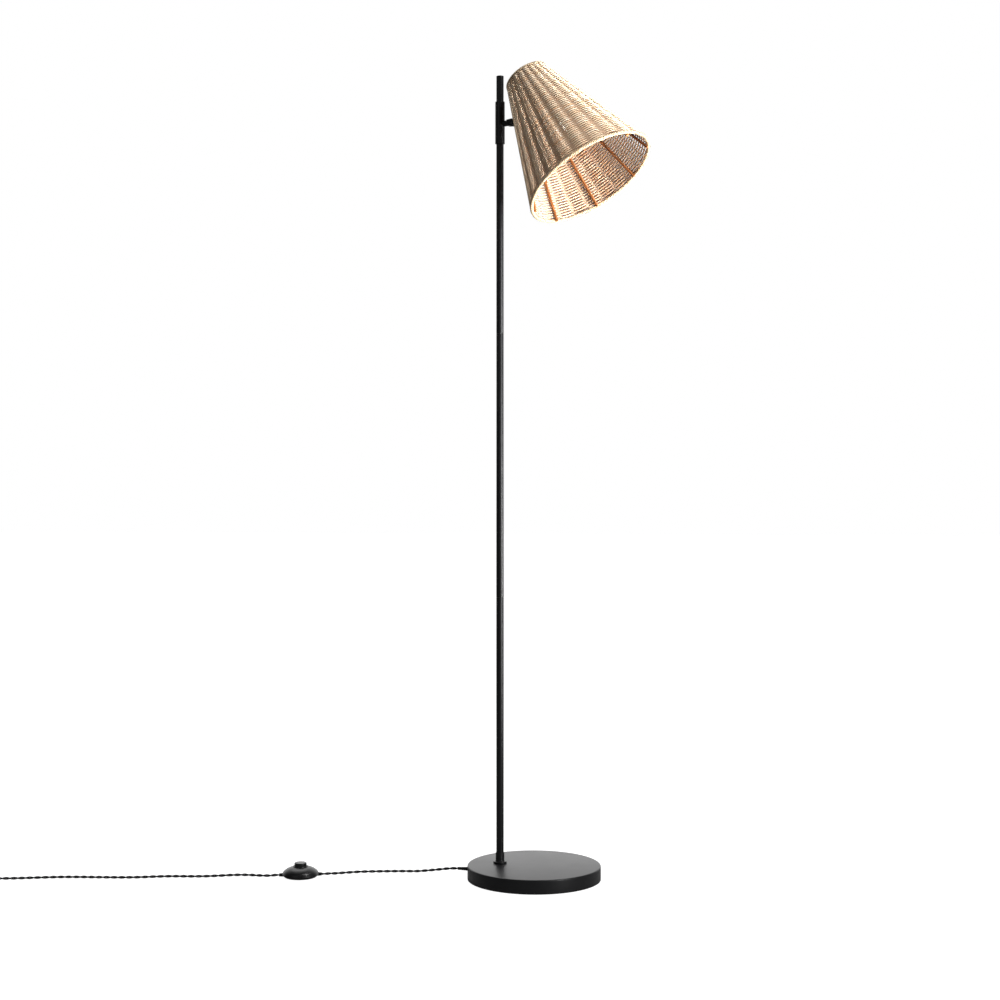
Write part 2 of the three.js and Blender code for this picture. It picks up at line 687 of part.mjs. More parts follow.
// The shade: woven wall, wrapped rims over hoops, ribs, and the fitter that sits on the lampholder
function makeShade(shade) {
  const stemWay = alongX(rod(stemRadius + stemHoleClearance, -axisReach, -cupRadius)).translate(0, 0, -topRise);
  addTo(shade, 'shade_weave', cut(flutedWall(), stemWay), rattan);
  addTo(shade, 'shade_top_hoop', hoop(0), rattanDark);
  addTo(shade, 'shade_bottom_hoop', hoop(slantLength), rattanDark);
  addTo(shade, 'shade_top_binding', wrappedRim(0, 1), rattan);
  addTo(shade, 'shade_bottom_binding', wrappedRim(slantLength, -1), rattan);

  const [nearTop, nearBottom] = [wallStart, wallEnd].map((down) => {
    const [radius, height] = besideWall(down, -ribInset);
    return new THREE.Vector3(radius, 0, height);
  });
  for (let i = 0; i < ribCount; i += 1) {
    const rib = addTo(shade, `shade_rib_${i + 1}`, sweep([nearTop, nearBottom], ribRadius, 12, sideways),
      rattanDark);
    rib.rotation.z = ribStartAngle + (2 * Math.PI * i) / ribCount;
  }

  const wallRadius = topHoopRadius + ((fitterTop - topHoopDrop) / slantCosine) * slantSine;
  const armEnd = wallRadius - (ribInset + ribRadius) / slantCosine - 2 * fitGap;
  const disc = pipe(skirtRadius + fitGap, fitterRadius, -fitterBottom, -fitterTop);
  const arms = Array.from({ length: fitterArmCount }, (_, i) => block(
    [fitterRadius - overrun, armEnd], [-fitterArmWidth / 2, fitterArmWidth / 2], [-fitterBottom, -fitterTop],
  ).rotateZ(ribStartAngle + (2 * Math.PI * i) / fitterArmCount));
  addTo(shade, 'shade_fitter', join(disc, ...arms), blackPaint);
}

// The lampholder, from the metal cup down to the ring that clamps the fitter, and the bulb in it
function makeLampholder(shade) {
  const cup = turned([
    [0, -cupTop], [cupRadius - cupShoulder, -cupTop], [cupRadius, -cupTop - cupShoulder], [cupRadius, -cupBottom],
    [cupRadius - cupWall, -cupBottom], [cupRadius - cupWall, -cupTop - cupShoulder - cupWall / 2],
    [cupRadius - cupShoulder - cupWall / 2, -cupTop - cupWall], [0, -cupTop - cupWall],
  ]);
  const stemWay = alongX(rod(stemRadius + fitGap, -axisReach, 0)).translate(0, 0, -topRise);
  addTo(shade, 'lampholder_cup', cut(cup, stemWay), blackPaint);

  addTo(shade, 'lampholder_body', turned([
    [0, -socketTop], [socketRadius, -socketTop], [socketRadius, -socketFlangeTop], [cupRadius, -socketFlangeTop],
    [cupRadius, -socketFlangeBottom], [skirtRadius, -socketFlangeBottom], [skirtRadius, -socketBottom],
    [socketBore, -socketBottom], [socketBore, -socketFloor], [0, -socketFloor],
  ]), blackPlastic);
  addTo(shade, 'lampholder_shell', pipe(shellRadius - shellWall, shellRadius, -shellBottom, -shellTop), brass);
  addTo(shade, 'lampholder_contact', rod(contactRadius, -socketFloor - fitGap - contactHeight,
    -socketFloor - fitGap, smallSteps), brass);
  addTo(shade, 'lampholder_ring', pipe(skirtRadius + fitGap, holderRingRadius,
    -holderRingTop - holderRingHeight, -holderRingTop), blackPlastic);

  addTo(shade, 'bulb_cap', turned([
    [0, -bulbTip], [bulbTipRadius, -bulbTip], [bulbTipRadius, -bulbCapTop], [bulbCapRadius, -bulbCapTop],
    [bulbCapRadius, -bulbCapBottom], [bulbCapRadius - bulbCapWall, -bulbCapBottom],
    [bulbCapRadius - bulbCapWall, -bulbCapTop - bulbCapWall], [0, -bulbCapTop - bulbCapWall],
  ]), brass);
  const neckTop = -bulbCapBottom + bulbGlassLap;
  const neckTurn = Math.asin(bulbNeckRadius / bulbRadius);
  const centre = -bulbCapBottom - bulbNeckLength - bulbRadius * Math.cos(neckTurn);
  const round = (radius) => Array.from({ length: 9 }, (_, i) => {
    const from = Math.asin((radius - bulbRadius + bulbNeckRadius) / radius);
    const turn = from + (i / 8) * (Math.PI - from);
    return [radius * Math.sin(turn), centre + radius * Math.cos(turn)];
  });
  const innerRound = round(bulbRadius - bulbGlassWall).reverse();
  addTo(shade, 'bulb_glass', turned([
    [bulbNeckRadius, neckTop], ...round(bulbRadius), ...innerRound,
    [bulbNeckRadius - bulbGlassWall, neckTop], [bulbNeckRadius, neckTop],
  ]), opalGlass);
}

// The foot switch: two case halves, a sprung button, its spring and the contact block
function makeSwitch(place) {
  const seam = fitGap / 2;
  const bowl = turned([
    [0, 0], [switchFootRadius, 0], [switchRadius, switchSplit - seam],
    [switchRadius - switchWall, switchSplit - seam], [switchFootRadius - switchWall, switchWall], [0, switchWall],
  ], caseSteps);
  const stubStart = switchRadius - switchStubRoot;
  const stub = turned([
    [0, stubStart], [switchStubRadius, stubStart], [switchStubRadius, switchRadius],
    [switchStubTipRadius, switchStubReach], [0, switchStubReach],
  ], smallSteps);
  const stubs = [1, -1].map((side) => alongX(stub.clone()).translate(0, 0, switchStubHeight)
    .rotateZ(side > 0 ? 0 : Math.PI));
  addTo(place, 'switch_lower_case', join(bowl, ...stubs), blackPlastic);

  const domeRise = collarTop - switchSplit;
  const domeShares = [[0.92, 0.34], [0.77, 0.6], [0.59, 0.79]];
  const dome = (shrink) => domeShares.map(([radiusShare, heightShare]) => [
    switchRadius * radiusShare - shrink, switchSplit + domeRise * heightShare - shrink,
  ]);
  const collarFoot = domeUnderside + switchWall;
  const shell = turned([
    [switchRadius, switchSplit + seam], ...dome(0), [collarRadius, collarFoot], [collarRadius, collarTop],
    [buttonRadius + fitGap, collarTop], [buttonRadius + fitGap, domeUnderside], [collarRadius, domeUnderside],
    ...dome(switchWall).reverse(), [switchRadius - switchWall, switchSplit + seam],
    [switchRadius, switchSplit + seam],
  ], caseSteps);
  const stubWay = alongX(rod(switchStubRadius + fitGap, -switchStubReach, switchStubReach, smallSteps))
    .translate(0, 0, switchStubHeight);
  addTo(place, 'switch_upper_case', cut(shell, stubWay), blackPlastic);

  const flangeTop = domeUnderside - fitGap;
  const flangeUnderside = flangeTop - buttonFlangeHeight;
  const hollow = buttonRadius - buttonWall;
  addTo(place, 'switch_button', turned([
    [0, buttonTop], [buttonRadius - buttonEdge, buttonTop], [buttonRadius, buttonTop - buttonEdge],
    [buttonRadius, flangeTop], [buttonFlangeRadius, flangeTop], [buttonFlangeRadius, flangeUnderside],
    [hollow, flangeUnderside], [hollow, buttonTop - buttonWall], [0, buttonTop - buttonWall],
  ]), blackPlastic);

  const blockTop = flangeUnderside - buttonTravel - fitGap;
  addTo(place, 'switch_contact_block', rod(contactBlockRadius, switchWall + fitGap, blockTop), nylon);
  const springFoot = blockTop + fitGap + springWire;
  const springHead = buttonTop - buttonWall - fitGap - springWire;
  const springStepsPerTurn = 8;
  const curls = Array.from({ length: springTurns * springStepsPerTurn + 1 }, (_, i) => {
    const share = i / (springTurns * springStepsPerTurn);
    const turn = 2 * Math.PI * springTurns * share;
    return new THREE.Vector3(springRadius * Math.cos(turn), springRadius * Math.sin(turn),
      springFoot + share * (springHead - springFoot));
  });
  addTo(place, 'switch_spring', sweep(curls, springWire, 5, upward), zincSteel);
  printGap('switch spring', curls, springStepsPerTurn, springWire);
}

// A plain tube along a hand-chosen route
function cordTube(points) {
  const curve = new THREE.CatmullRomCurve3(points.map((point) => new THREE.Vector3(...point)));
  const section = new THREE.Shape(Array.from({ length: cordSides }, (_, k) => {
    const turn = (2 * Math.PI * (k + 0.5)) / cordSides;
    return new THREE.Vector2(cordRadius * Math.cos(turn), cordRadius * Math.sin(turn));
  }));
  const stepLength = 2.5 * 2 * cordRadius;
  const steps = Math.round(curve.getLength() / stepLength);
  return closed(new THREE.ExtrudeGeometry(section, { steps, extrudePath: curve }));
}

// The coil's centre line: in on the lower layer, up half-way round, out on the upper layer, then a tail
function coilRoute() {
  const steps = Math.round((coilStepsPerTurn * coilSweep) / (2 * Math.PI));
  const low = cordRadius + coilLift;
  const turns = Array.from({ length: steps + 1 }, (_, i) => {
    const swept = (coilSweep * i) / steps;
    const radius = coilInnerRadius + (coilPitch * Math.abs(swept - coilSweep / 2)) / (2 * Math.PI);
    const climb = THREE.MathUtils.smoothstep(swept, (coilSweep - Math.PI) / 2, (coilSweep + Math.PI) / 2);
    const turn = coilStartAngle + swept;
    return new THREE.Vector3(coilCentre.x + radius * Math.cos(turn), coilCentre.y + radius * Math.sin(turn),
      low + coilPitch * climb);
  });
  const straight = 2 * cordRadius;
  const heading = new THREE.Vector3(-Math.sin(coilStartAngle), Math.cos(coilStartAngle), 0);
  const start = turns[0].clone().addScaledVector(heading, -straight);
  const out = new THREE.Vector3(-Math.sin(coilEndAngle), Math.cos(coilEndAngle), 0);
  const leave = turns[turns.length - 1];
  const end = leave.clone().addScaledVector(out, coilTailLength).setZ(plugThickness / 2);
  const bend = end.clone().addScaledVector(out, -straight);
  const tail = [1, 2, 3].map((i) => {
    const height = THREE.MathUtils.lerp(leave.z, bend.z, THREE.MathUtils.smoothstep(i / 4, 0, 1));
    return leave.clone().lerp(bend, i / 4).setZ(height);
  });
  return { turns, route: [start, ...turns, ...tail, bend, end], start, heading, end, out };
}

// Prints the least gap that a wound piece keeps to itself, between points at least half a turn apart
function printGap(name, points, stepsPerTurn, radius) {
  let least = Infinity;
  points.forEach((point, i) => {
    for (let j = i + stepsPerTurn / 2; j < points.length; j += 1) {
      least = Math.min(least, point.distanceTo(points[j]) - 2 * radius);
    }
  });
  console.log(`${name}: least gap to itself ${least.toFixed(2)} mm`);
}

// Two points straight out of the switch, on its side towards the base (1) or towards the plug (-1)
function switchExit(side) {
  const near = side * (switchStubReach + fitGap);
  const far = side * (switchStubReach + fitGap + 2 * cordRadius);
  return [near, far].map((reach) => [
    switchPlace.x + reach * Math.cos(switchTurn), switchPlace.y + reach * Math.sin(switchTurn), switchStubHeight,
  ]);
}

// The cord with the coil and its tie
function makeCord(lamp) {
  const inside = -coverInside + fitGap;
  const outside = -baseRadius - fitGap;
  addTo(lamp, 'cord_relief', alongX(turned([
    [0, inside + reliefCollarThickness], [reliefCollarRadius, inside + reliefCollarThickness],
    [reliefCollarRadius, inside], [reliefRadius, inside], [reliefRadius, outside], [reliefRimRadius, outside],
    [reliefRimRadius, outside - reliefCollarThickness], [reliefRadius, outside - reliefCollarThickness],
    [reliefTipRadius, reliefTip], [0, reliefTip],
  ], smallSteps)).translate(0, 0, leadHeight), blackPlastic);

  const coil = coilRoute();
  const [nearBase, beforeBase] = switchExit(1);
  const [nearPlug, beforePlug] = switchExit(-1);
  const meet = coil.start.clone().addScaledVector(coil.heading, -fitGap);
  const beforeMeet = meet.clone().addScaledVector(coil.heading, -2 * cordRadius);
  addTo(lamp, 'cord_to_switch', cordTube([...routeToSwitch, beforeBase, nearBase]), blackFabric);
  addTo(lamp, 'cord_from_switch', cordTube(
    [nearPlug, beforePlug, ...routeFromSwitch, beforeMeet.toArray(), meet.toArray()],
  ), blackFabric);
  addTo(lamp, 'cord_coil', sweep(coil.route, cordRadius, coilSides, upward), blackFabric);
  printGap('coil', coil.turns, coilStepsPerTurn, cordRadius);

  const inner = coilInnerRadius - cordRadius - tieGap;
  const outer = coilOuterRadius + cordRadius + tieGap;
  const [bottom, top] = [coilLift - tieGap, coilLift + coilPitch + 2 * cordRadius + tieGap];
  const band = (grow) => [
    [inner - grow, bottom - grow], [outer + grow, bottom - grow], [outer + grow, top + grow], [inner - grow, top + grow],
  ].map(([x, y]) => new THREE.Vector2(x, y));
  const loop = new THREE.Shape(band(tieThickness));
  loop.holes.push(new THREE.Path(band(0)));
  const tie = addTo(lamp, 'cord_tie', plate(loop, tieWidth), blackPlastic);
  tie.position.set(coilCentre.x, coilCentre.y, 0);
  tie.rotation.z = tieAngle;
  return coil;
}

// The plug, in its own frame: the cord comes in along +X at the tail, and the pins point to +X
function makePlug(place) {
  const axis = plugThickness / 2;
  const tail = alongX(turned([
    [0, 0], [plugTailTipRadius, 0], [plugTailRadius, plugTailLength], [plugTailRadius, plugTailLength + overrun],
    [0, plugTailLength + overrun],
  ], smallSteps)).translate(0, 0, axis);
  const widthShares = [[0, 0.5], [0.25, 0.78], [0.5, 0.96], [0.7, 1], [1, 1]];
  const edge = widthShares.map(([along, width]) => new THREE.Vector2(
    plugTailLength + plugBevel + along * (plugLength - 2 * plugBevel), (width * plugFaceWidth) / 2 - plugBevel,
  ));
  const outline = new THREE.Shape([...edge, ...edge.map(({ x, y }) => new THREE.Vector2(x, -y)).reverse()]);
  const body = new THREE.ExtrudeGeometry(outline, {
    depth: plugThickness - 2 * plugBevel, bevelThickness: plugBevel, bevelSize: plugBevel, bevelSegments: 2,
  });
  addTo(place, 'plug_body', join(tail, closed(body.translate(0, 0, plugBevel))), blackPlastic);
  const face = plugTailLength + plugLength + fitGap;
  for (const [side, name] of [[-1, 'plug_pin_left'], [1, 'plug_pin_right']]) {
    const pin = turned([
      [0, face], [pinRadius, face], [pinRadius, face + pinLength - pinRadius / 2],
      [pinRadius / 2, face + pinLength], [0, face + pinLength],
    ], smallSteps);
    addTo(place, name, alongX(pin).translate(0, (side * pinSpacing) / 2, axis), brass);
  }
}

const lamp = new THREE.Group();
makeBase(lamp);

const pole = new THREE.Group();
pole.position.x = -poleSetback;
lamp.add(pole);
makePole(pole);
makeInnerLead(lamp);

const turn = new THREE.Group();
turn.rotation.z = headTurnAngle;
pole.add(turn);
makeSleeve(turn);

const head = new THREE.Group();
head.position.set(pivotReach, 0, armHeight);
head.rotation.y = -headTiltAngle;
turn.add(head);
makeTongue(head);

const shade = new THREE.Group();
shade.position.set(axisReach, 0, topRise);
head.add(shade);
makeShade(shade);
makeLampholder(shade);

const footSwitch = new THREE.Group();
footSwitch.position.copy(switchPlace);
footSwitch.rotation.z = switchTurn;
lamp.add(footSwitch);
makeSwitch(footSwitch);

const coil = makeCord(lamp);
const plug = new THREE.Group();
plug.position.set(coil.end.x + coil.out.x * fitGap, coil.end.y + coil.out.y * fitGap, 0);
plug.rotation.z = Math.atan2(coil.out.y, coil.out.x);
lamp.add(plug);
makePlug(plug);

export default lamp;
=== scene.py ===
import json
from math import asin, atan2, copysign, cos, hypot, pi, radians, sin, tau

import bmesh
import bpy
from mathutils import Matrix, Vector


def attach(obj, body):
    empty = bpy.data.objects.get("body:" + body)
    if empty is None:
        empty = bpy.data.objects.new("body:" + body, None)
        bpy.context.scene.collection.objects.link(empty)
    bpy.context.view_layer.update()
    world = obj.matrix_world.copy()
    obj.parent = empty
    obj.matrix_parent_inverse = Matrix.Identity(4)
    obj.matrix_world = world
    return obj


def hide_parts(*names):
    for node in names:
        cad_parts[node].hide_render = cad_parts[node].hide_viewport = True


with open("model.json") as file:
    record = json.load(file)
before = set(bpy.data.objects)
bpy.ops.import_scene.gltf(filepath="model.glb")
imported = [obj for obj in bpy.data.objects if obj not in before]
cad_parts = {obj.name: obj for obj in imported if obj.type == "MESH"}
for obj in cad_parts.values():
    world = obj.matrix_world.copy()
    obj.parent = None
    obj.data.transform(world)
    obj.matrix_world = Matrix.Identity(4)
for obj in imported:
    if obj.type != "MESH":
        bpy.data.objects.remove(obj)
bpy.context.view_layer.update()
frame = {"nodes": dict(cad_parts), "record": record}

# Rattan floor lamp, in metres. +X runs from the pole to the base's middle, +Z is up.
scene = bpy.context.scene
mm = 0.001


# Node wiring

class Wire:  # an output socket; sums of wires become Math nodes, in shaders and in geometry trees alike
    def __init__(self, tree, socket):
        self.tree = tree
        self.socket = socket

    def math(self, operation, *others):
        return add(self.tree, "ShaderNodeMath", dict(enumerate((self, *others))), operation=operation)

    def into(self, kind, feeds=None, **settings):  # a geometry node with this wire in its first socket
        return add(self.tree, "GeometryNode" + kind, {0: self, **(feeds or {})}, **settings)

    def __add__(self, other):
        return self.math("ADD", other)

    def __sub__(self, other):
        return self.math("SUBTRACT", other)

    def __mul__(self, other):
        return self.math("MULTIPLY", other)

    def __truediv__(self, other):
        return self.math("DIVIDE", other)

    def __pow__(self, other):
        return self.math("POWER", other)

    def __neg__(self):
        return self * -1

    def __rsub__(self, other):
        return -self + other

    __radd__ = __add__
    __rmul__ = __mul__

    def sin(self):
        return self.math("SINE")

    def cos(self):
        return self.math("COSINE")

    def size(self):
        return self.math("ABSOLUTE")

    def between(self, low, high):  # 0 at low, 1 at high, eased
        return add(self.tree, "ShaderNodeMapRange", {"Value": self, "From Min": low, "From Max": high},
                   interpolation_type="SMOOTHSTEP", clamp=True)


def feed(slot, value):
    if isinstance(value, Wire):
        value.tree.links.new(value.socket, slot)
    else:
        slot.default_value = value


def add(tree, kind, feeds=None, out=0, **settings):
    node = tree.nodes.new(kind)
    for key, value in settings.items():
        setattr(node, key, value)
    for key, value in (feeds or {}).items():
        feed(node.inputs[key], value)
    return Wire(tree, node.outputs[out])


def split(wire):
    first = add(wire.tree, "ShaderNodeSeparateXYZ", {0: wire})
    return [Wire(wire.tree, output) for output in first.socket.node.outputs]


def vector(x, y, z):
    return add(x.tree, "ShaderNodeCombineXYZ", {0: x, 1: y, 2: z})


def vectorMath(operation, a, b, out=0):
    return add(a.tree, "ShaderNodeVectorMath", {0: a, 1: b}, out, operation=operation)


def scaled(a, scale):
    return add(a.tree, "ShaderNodeVectorMath", {0: a, "Scale": scale}, operation="SCALE")


def noise(place, scale, detail=3.0, roughness=0.55, w=None):
    feeds = {"Vector": place, "Scale": scale, "Detail": detail, "Roughness": roughness}
    if w is not None:
        feeds["W"] = w
    return add(place.tree, "ShaderNodeTexNoise", feeds, noise_dimensions="3D" if w is None else "4D")


def cells(place, scale):
    return add(place.tree, "ShaderNodeTexVoronoi", {"Vector": place, "Scale": scale})


def rgb(r, g, b):  # a colour as seen on screen, 0 to 255, as the linear one that shaders take
    linear = [((c / 255 + 0.055) / 1.055) ** 2.4 if c > 10.3 else c / 255 / 12.92 for c in (r, g, b)]
    return (*linear, 1.0)


def mixColour(share, a, b):
    return add(share.tree, "ShaderNodeMix", {0: share, 6: a, 7: b}, out=2, data_type="RGBA")


def ramp(value, stops):  # stops are (place, colour)
    wire = add(value.tree, "ShaderNodeValToRGB", {0: value})
    points = wire.socket.node.color_ramp.elements
    while len(points) < len(stops):
        points.new(0.5)
    for point, (place, colour) in zip(points, stops):
        point.position = place
        point.color = colour
    return wire


# Materials

def startMaterial(name, **constants):
    material = bpy.data.materials.new(name)
    material.use_nodes = True
    inputs = material.node_tree.nodes["Principled BSDF"].inputs
    for key, value in constants.items():
        inputs[key.replace("_", " ")].default_value = value
    return material, material.node_tree


def finishMaterial(material, colour, roughness=None, bump=None):  # bump is height, strength and distance
    tree = material.node_tree
    inputs = tree.nodes["Principled BSDF"].inputs
    feed(inputs["Base Color"], colour)
    if roughness:
        feed(inputs["Roughness"], roughness)
    if bump:
        feeds = dict(zip(("Height", "Strength", "Distance"), bump))
        feed(inputs["Normal"], add(tree, "ShaderNodeBump", feeds))
    return material


def objectPlace(tree):
    return add(tree, "ShaderNodeTexCoord", out="Object")


def attribute(tree, name, out="Fac"):
    return add(tree, "ShaderNodeAttribute", out=out, attribute_name=name)


# Smooth finishes: broad patches vary colour and gloss, fine ones give the gloss its grain and the bump
paintFinish = {
    "specular": 0.26, "metallic": 0.0, "fineScale": 900.0, "fineDetail": 2.0, "broadScale": 24.0,
    "broadDetail": 4.0, "fineGloss": 0.0, "broadGloss": 0.06, "bump": 0.5, "depth": 0.00003,
}
plasticFinish = {
    "specular": 0.32, "metallic": 0.0, "fineScale": 1600.0, "fineDetail": 2.0, "broadScale": 45.0,
    "broadDetail": 3.0, "fineGloss": 0.06, "broadGloss": 0.08, "bump": 0.35, "depth": 0.00002,
}
metalFinish = {
    "specular": 0.5, "metallic": 1.0, "fineScale": 700.0, "fineDetail": 3.0, "broadScale": 60.0,
    "broadDetail": 4.0, "fineGloss": 0.14, "broadGloss": 0.0, "bump": 0.3, "depth": 0.00002,
}


def smooth(name, dark, light, roughness, finish):
    material, tree = startMaterial(name, Specular_IOR_Level=finish["specular"], Metallic=finish["metallic"])
    place = objectPlace(tree)
    fine = noise(place, finish["fineScale"], finish["fineDetail"])
    broad = noise(place, finish["broadScale"], finish["broadDetail"])
    gloss = broad * finish["broadGloss"] + fine * finish["fineGloss"] + roughness
    colour = mixColour(broad, dark, light)
    return finishMaterial(material, colour, gloss, (fine, finish["bump"], finish["depth"]))


def castCement():
    sizes = {"sandScale": 420.0, "patchScale": 18.0, "pitScale": 160.0, "bump": 0.7, "depth": 0.0006}
    material, tree = startMaterial("castCement", Roughness=0.92)
    place = objectPlace(tree)
    sand = noise(place, sizes["sandScale"], 5.0, 0.7)
    patch = noise(place, sizes["patchScale"], 4.0)
    pit = cells(place, sizes["pitScale"]).between(0.0, 0.25)
    base = mixColour(patch, rgb(132, 129, 122), rgb(164, 160, 152))
    # Painted shade: the pits are painted darker in their hollows, and sunk by the bump as well
    return finishMaterial(material, mixColour(pit, rgb(96, 93, 88), base),
                          bump=(sand * 0.5 + pit * 0.6, sizes["bump"], sizes["depth"]))


def foamPad():
    sizes = {"cellScale": 900.0, "bump": 0.6, "depth": 0.0003}
    material, tree = startMaterial("blackFoam", Roughness=0.95, Specular_IOR_Level=0.2)
    foam = cells(objectPlace(tree), sizes["cellScale"])
    return finishMaterial(material, mixColour(foam, rgb(16, 16, 17), rgb(44, 44, 46)),
                          bump=(foam, sizes["bump"], sizes["depth"]))


def opalGlass():
    sizes = {"cloudScale": 30.0, "gloss": 0.16, "glossSpread": 0.08}
    material, tree = startMaterial("opalGlass", IOR=1.5, Coat_Weight=0.3)
    cloud = noise(objectPlace(tree), sizes["cloudScale"])
    return finishMaterial(material, mixColour(cloud, rgb(236, 232, 220), rgb(247, 245, 238)),
                          cloud * sizes["glossSpread"] + sizes["gloss"])


# Woven and wrapped cane: "around" runs round the strand's section, "tone" differs from strand to strand; the
# crevices between strands get painted shade
def cane(name, pale, middle, deep, creviceShade, fibreScale, roughness, toneReach=0.4, woven=False):
    sizes = {
        "grainScale": 70.0, "blotchScale": 26.0, "fleckScale": 210.0, "blotchShare": 0.9, "fibreShare": 0.5,
        "creviceShadeShare": 0.95, "fleckShare": 0.55, "buriedShadeShare": 0.8, "glossSpread": 0.2, "bump": 0.5,
        "depth": 0.00012,
    }
    material, tree = startMaterial(name, Specular_IOR_Level=0.35)
    place = objectPlace(tree)
    around = attribute(tree, "around", "Vector")
    tone = attribute(tree, "tone")
    fibrePlace = vectorMath("ADD", scaled(around, fibreScale), scaled(place, sizes["grainScale"]))
    fibres = noise(fibrePlace, 1.0, 4.0, 0.7, w=tone * 40.0)
    blotch = noise(place, sizes["blotchScale"], 3.0, 0.6, w=tone * 9.0)
    fleck = noise(place, sizes["fleckScale"], 2.0, 0.5, w=tone * 30.0).between(0.66, 0.8)
    share = ((tone - 0.5) * toneReach + (blotch - 0.5) * sizes["blotchShare"]
             + (fibres - 0.5) * sizes["fibreShare"] + 0.5)
    colour = ramp(share, [(0.05, pale), (0.5, middle), (0.95, deep)])
    # Painted shade: each strand's edges are painted towards the crevice shade colour, more on the faces that
    # look outward
    outward, sideways, _ = split(around)
    outside = outward.between(-0.3, 0.3)
    dark = (sideways.size() + outside * 0.2).between(0.6, 1.15) * sizes["creviceShadeShare"]
    if woven:  # painted shade: darker on the side of a strand that lies behind a stake, and where it dives between two stakes
        phase = attribute(tree, "phase")
        buriedShade = (-(phase * outward)).between(-0.35, 0.5)
        diveShade = (1 - phase.size().between(0.1, 0.7)) * (outside * 0.5 + 0.05)
        dark = dark.math("MAXIMUM", buriedShade * sizes["buriedShadeShare"]).math("MAXIMUM", diveShade)
    colour = mixColour(fleck * sizes["fleckShare"], mixColour(dark, colour, creviceShade), rgb(128, 84, 48))
    return finishMaterial(material, colour, fibres * sizes["glossSpread"] + roughness,
                          (fibres, sizes["bump"], sizes["depth"]))


# Braided cover: two sets of threads that cross as they wind round the strand
def braidedCover():
    sizes = {
        "threads": 8.0, "rounds": 4.0, "turnLength": 0.0052, "fuzzScale": 2400.0, "gloss": 0.78,
        "glossSpread": 0.15, "bump": 0.8, "depth": 0.00014,
    }
    material, tree = startMaterial("blackBraid", Sheen_Weight=0.25, Sheen_Roughness=0.4,
                                   Specular_IOR_Level=0.25)
    x, y, _ = split(attribute(tree, "around", "Vector"))
    angle = y.math("ARCTAN2", x) * sizes["threads"]
    turns = attribute(tree, "along") * (tau / sizes["turnLength"]) * sizes["rounds"]
    weave = (angle + turns).sin().math("MAXIMUM", (angle - turns).sin())
    fuzz = noise(objectPlace(tree), sizes["fuzzScale"], 2.0)
    # Painted shade and highlight: the grooves between threads are painted darker and the thread crests lighter
    return finishMaterial(material, mixColour(weave.between(-0.2, 1.0), rgb(7, 7, 8), rgb(30, 30, 32)),
                          fuzz * sizes["glossSpread"] + sizes["gloss"],
                          (weave * 0.7 + fuzz * 0.5, sizes["bump"], sizes["depth"]))


blackPaint = smooth("satinBlackPaint", rgb(13, 13, 14), rgb(24, 24, 26), 0.33, paintFinish)
blackPlastic = smooth("satinBlackPlastic", rgb(7, 7, 8), rgb(14, 14, 15), 0.26, plasticFinish)
holderPlastic = smooth("holderBlackPlastic", rgb(12, 12, 12), rgb(22, 22, 22), 0.45, plasticFinish)
nylon = smooth("naturalNylon", rgb(214, 208, 190), rgb(231, 227, 214), 0.5, plasticFinish)
leadCover = smooth("paleLeadCover", rgb(196, 193, 185), rgb(216, 213, 206), 0.5, plasticFinish)
zincSteel = smooth("zincPlatedSteel", rgb(150, 152, 154), rgb(188, 189, 188), 0.26, metalFinish)
brass = smooth("brightBrass", rgb(178, 138, 70), rgb(212, 176, 104), 0.2, metalFinish)
opal = opalGlass()
braid = braidedCover()
# The fourth colour of each cane is its painted crevice shade
weaveCane = cane("wovenCane", rgb(252, 237, 212), rgb(244, 218, 184), rgb(220, 174, 128), rgb(118, 66, 32),
                 2.6, 0.5, woven=True)
wrapCane = cane("wrappingCane", rgb(226, 208, 178), rgb(210, 188, 154), rgb(186, 154, 112), rgb(112, 72, 42),
                2.2, 0.46)
ribCane = cane("brownCane", rgb(178, 118, 64), rgb(150, 92, 46), rgb(104, 60, 30), rgb(120, 70, 34),
               3.2, 0.42, 0.7)
slotMaterials = {
    "black_paint": blackPaint, "cement": castCement(), "foam_pad": foamPad(), "zinc_steel": zincSteel,
    "nylon": nylon, "black_plastic": blackPlastic, "brass": brass, "cord_fabric": braid,
    "lead_cover": leadCover, "woven_cane": weaveCane, "dark_cane": ribCane, "opal_glass": opal,
}
materialSlots = {material.name: slot for slot, material in slotMaterials.items()}
materialSlots.update({holderPlastic.name: "black_plastic", wrapCane.name: "woven_cane"})
print("materials ready")


# Mesh helpers

def addObject(name, data):
    item = bpy.data.objects.new(name, data)
    scene.collection.objects.link(item)
    return item


def nodeName(name):  # baseCover replaces base_cover
    return "".join("_" + c.lower() if c.isupper() else c for c in name)


def finishPiece(name, mesh, material, body="stand", nodes=None, angle=32, matrix=None):
    if matrix:
        mesh.transform(matrix)
    piece = addObject(name, mesh)
    mesh.materials.clear()
    mesh.materials.append(material)
    mesh.shade_smooth()
    if angle is not None:
        mesh.set_sharp_from_angle(angle=radians(angle))
    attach(piece, body)
    if nodes is None:
        nodes = [nodeName(name)]
    if nodes:
        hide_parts(*nodes)
    return piece


def keepMesh(name, grid, matrix=None):
    mesh = bpy.data.meshes.new(name)
    grid.to_mesh(mesh)
    grid.free()
    if matrix:
        mesh.transform(matrix)
    return mesh


def plainMesh(item, name):  # the item's mesh with its modifiers applied
    bpy.context.view_layer.update()
    graph = bpy.context.evaluated_depsgraph_get()
    mesh = bpy.data.meshes.new_from_object(item.evaluated_get(graph), preserve_all_data_layers=True,
                                           depsgraph=graph)
    mesh.name = name
    return mesh


def shifted(x, y, z):
    return Matrix.Translation((x * mm, y * mm, z * mm))


def spun(degrees, axis="Z"):
    return Matrix.Rotation(radians(degrees), 4, axis)


toX = spun(90, "Y")  # a turned piece's height becomes +X
toY = spun(-90, "X")  # or +Y


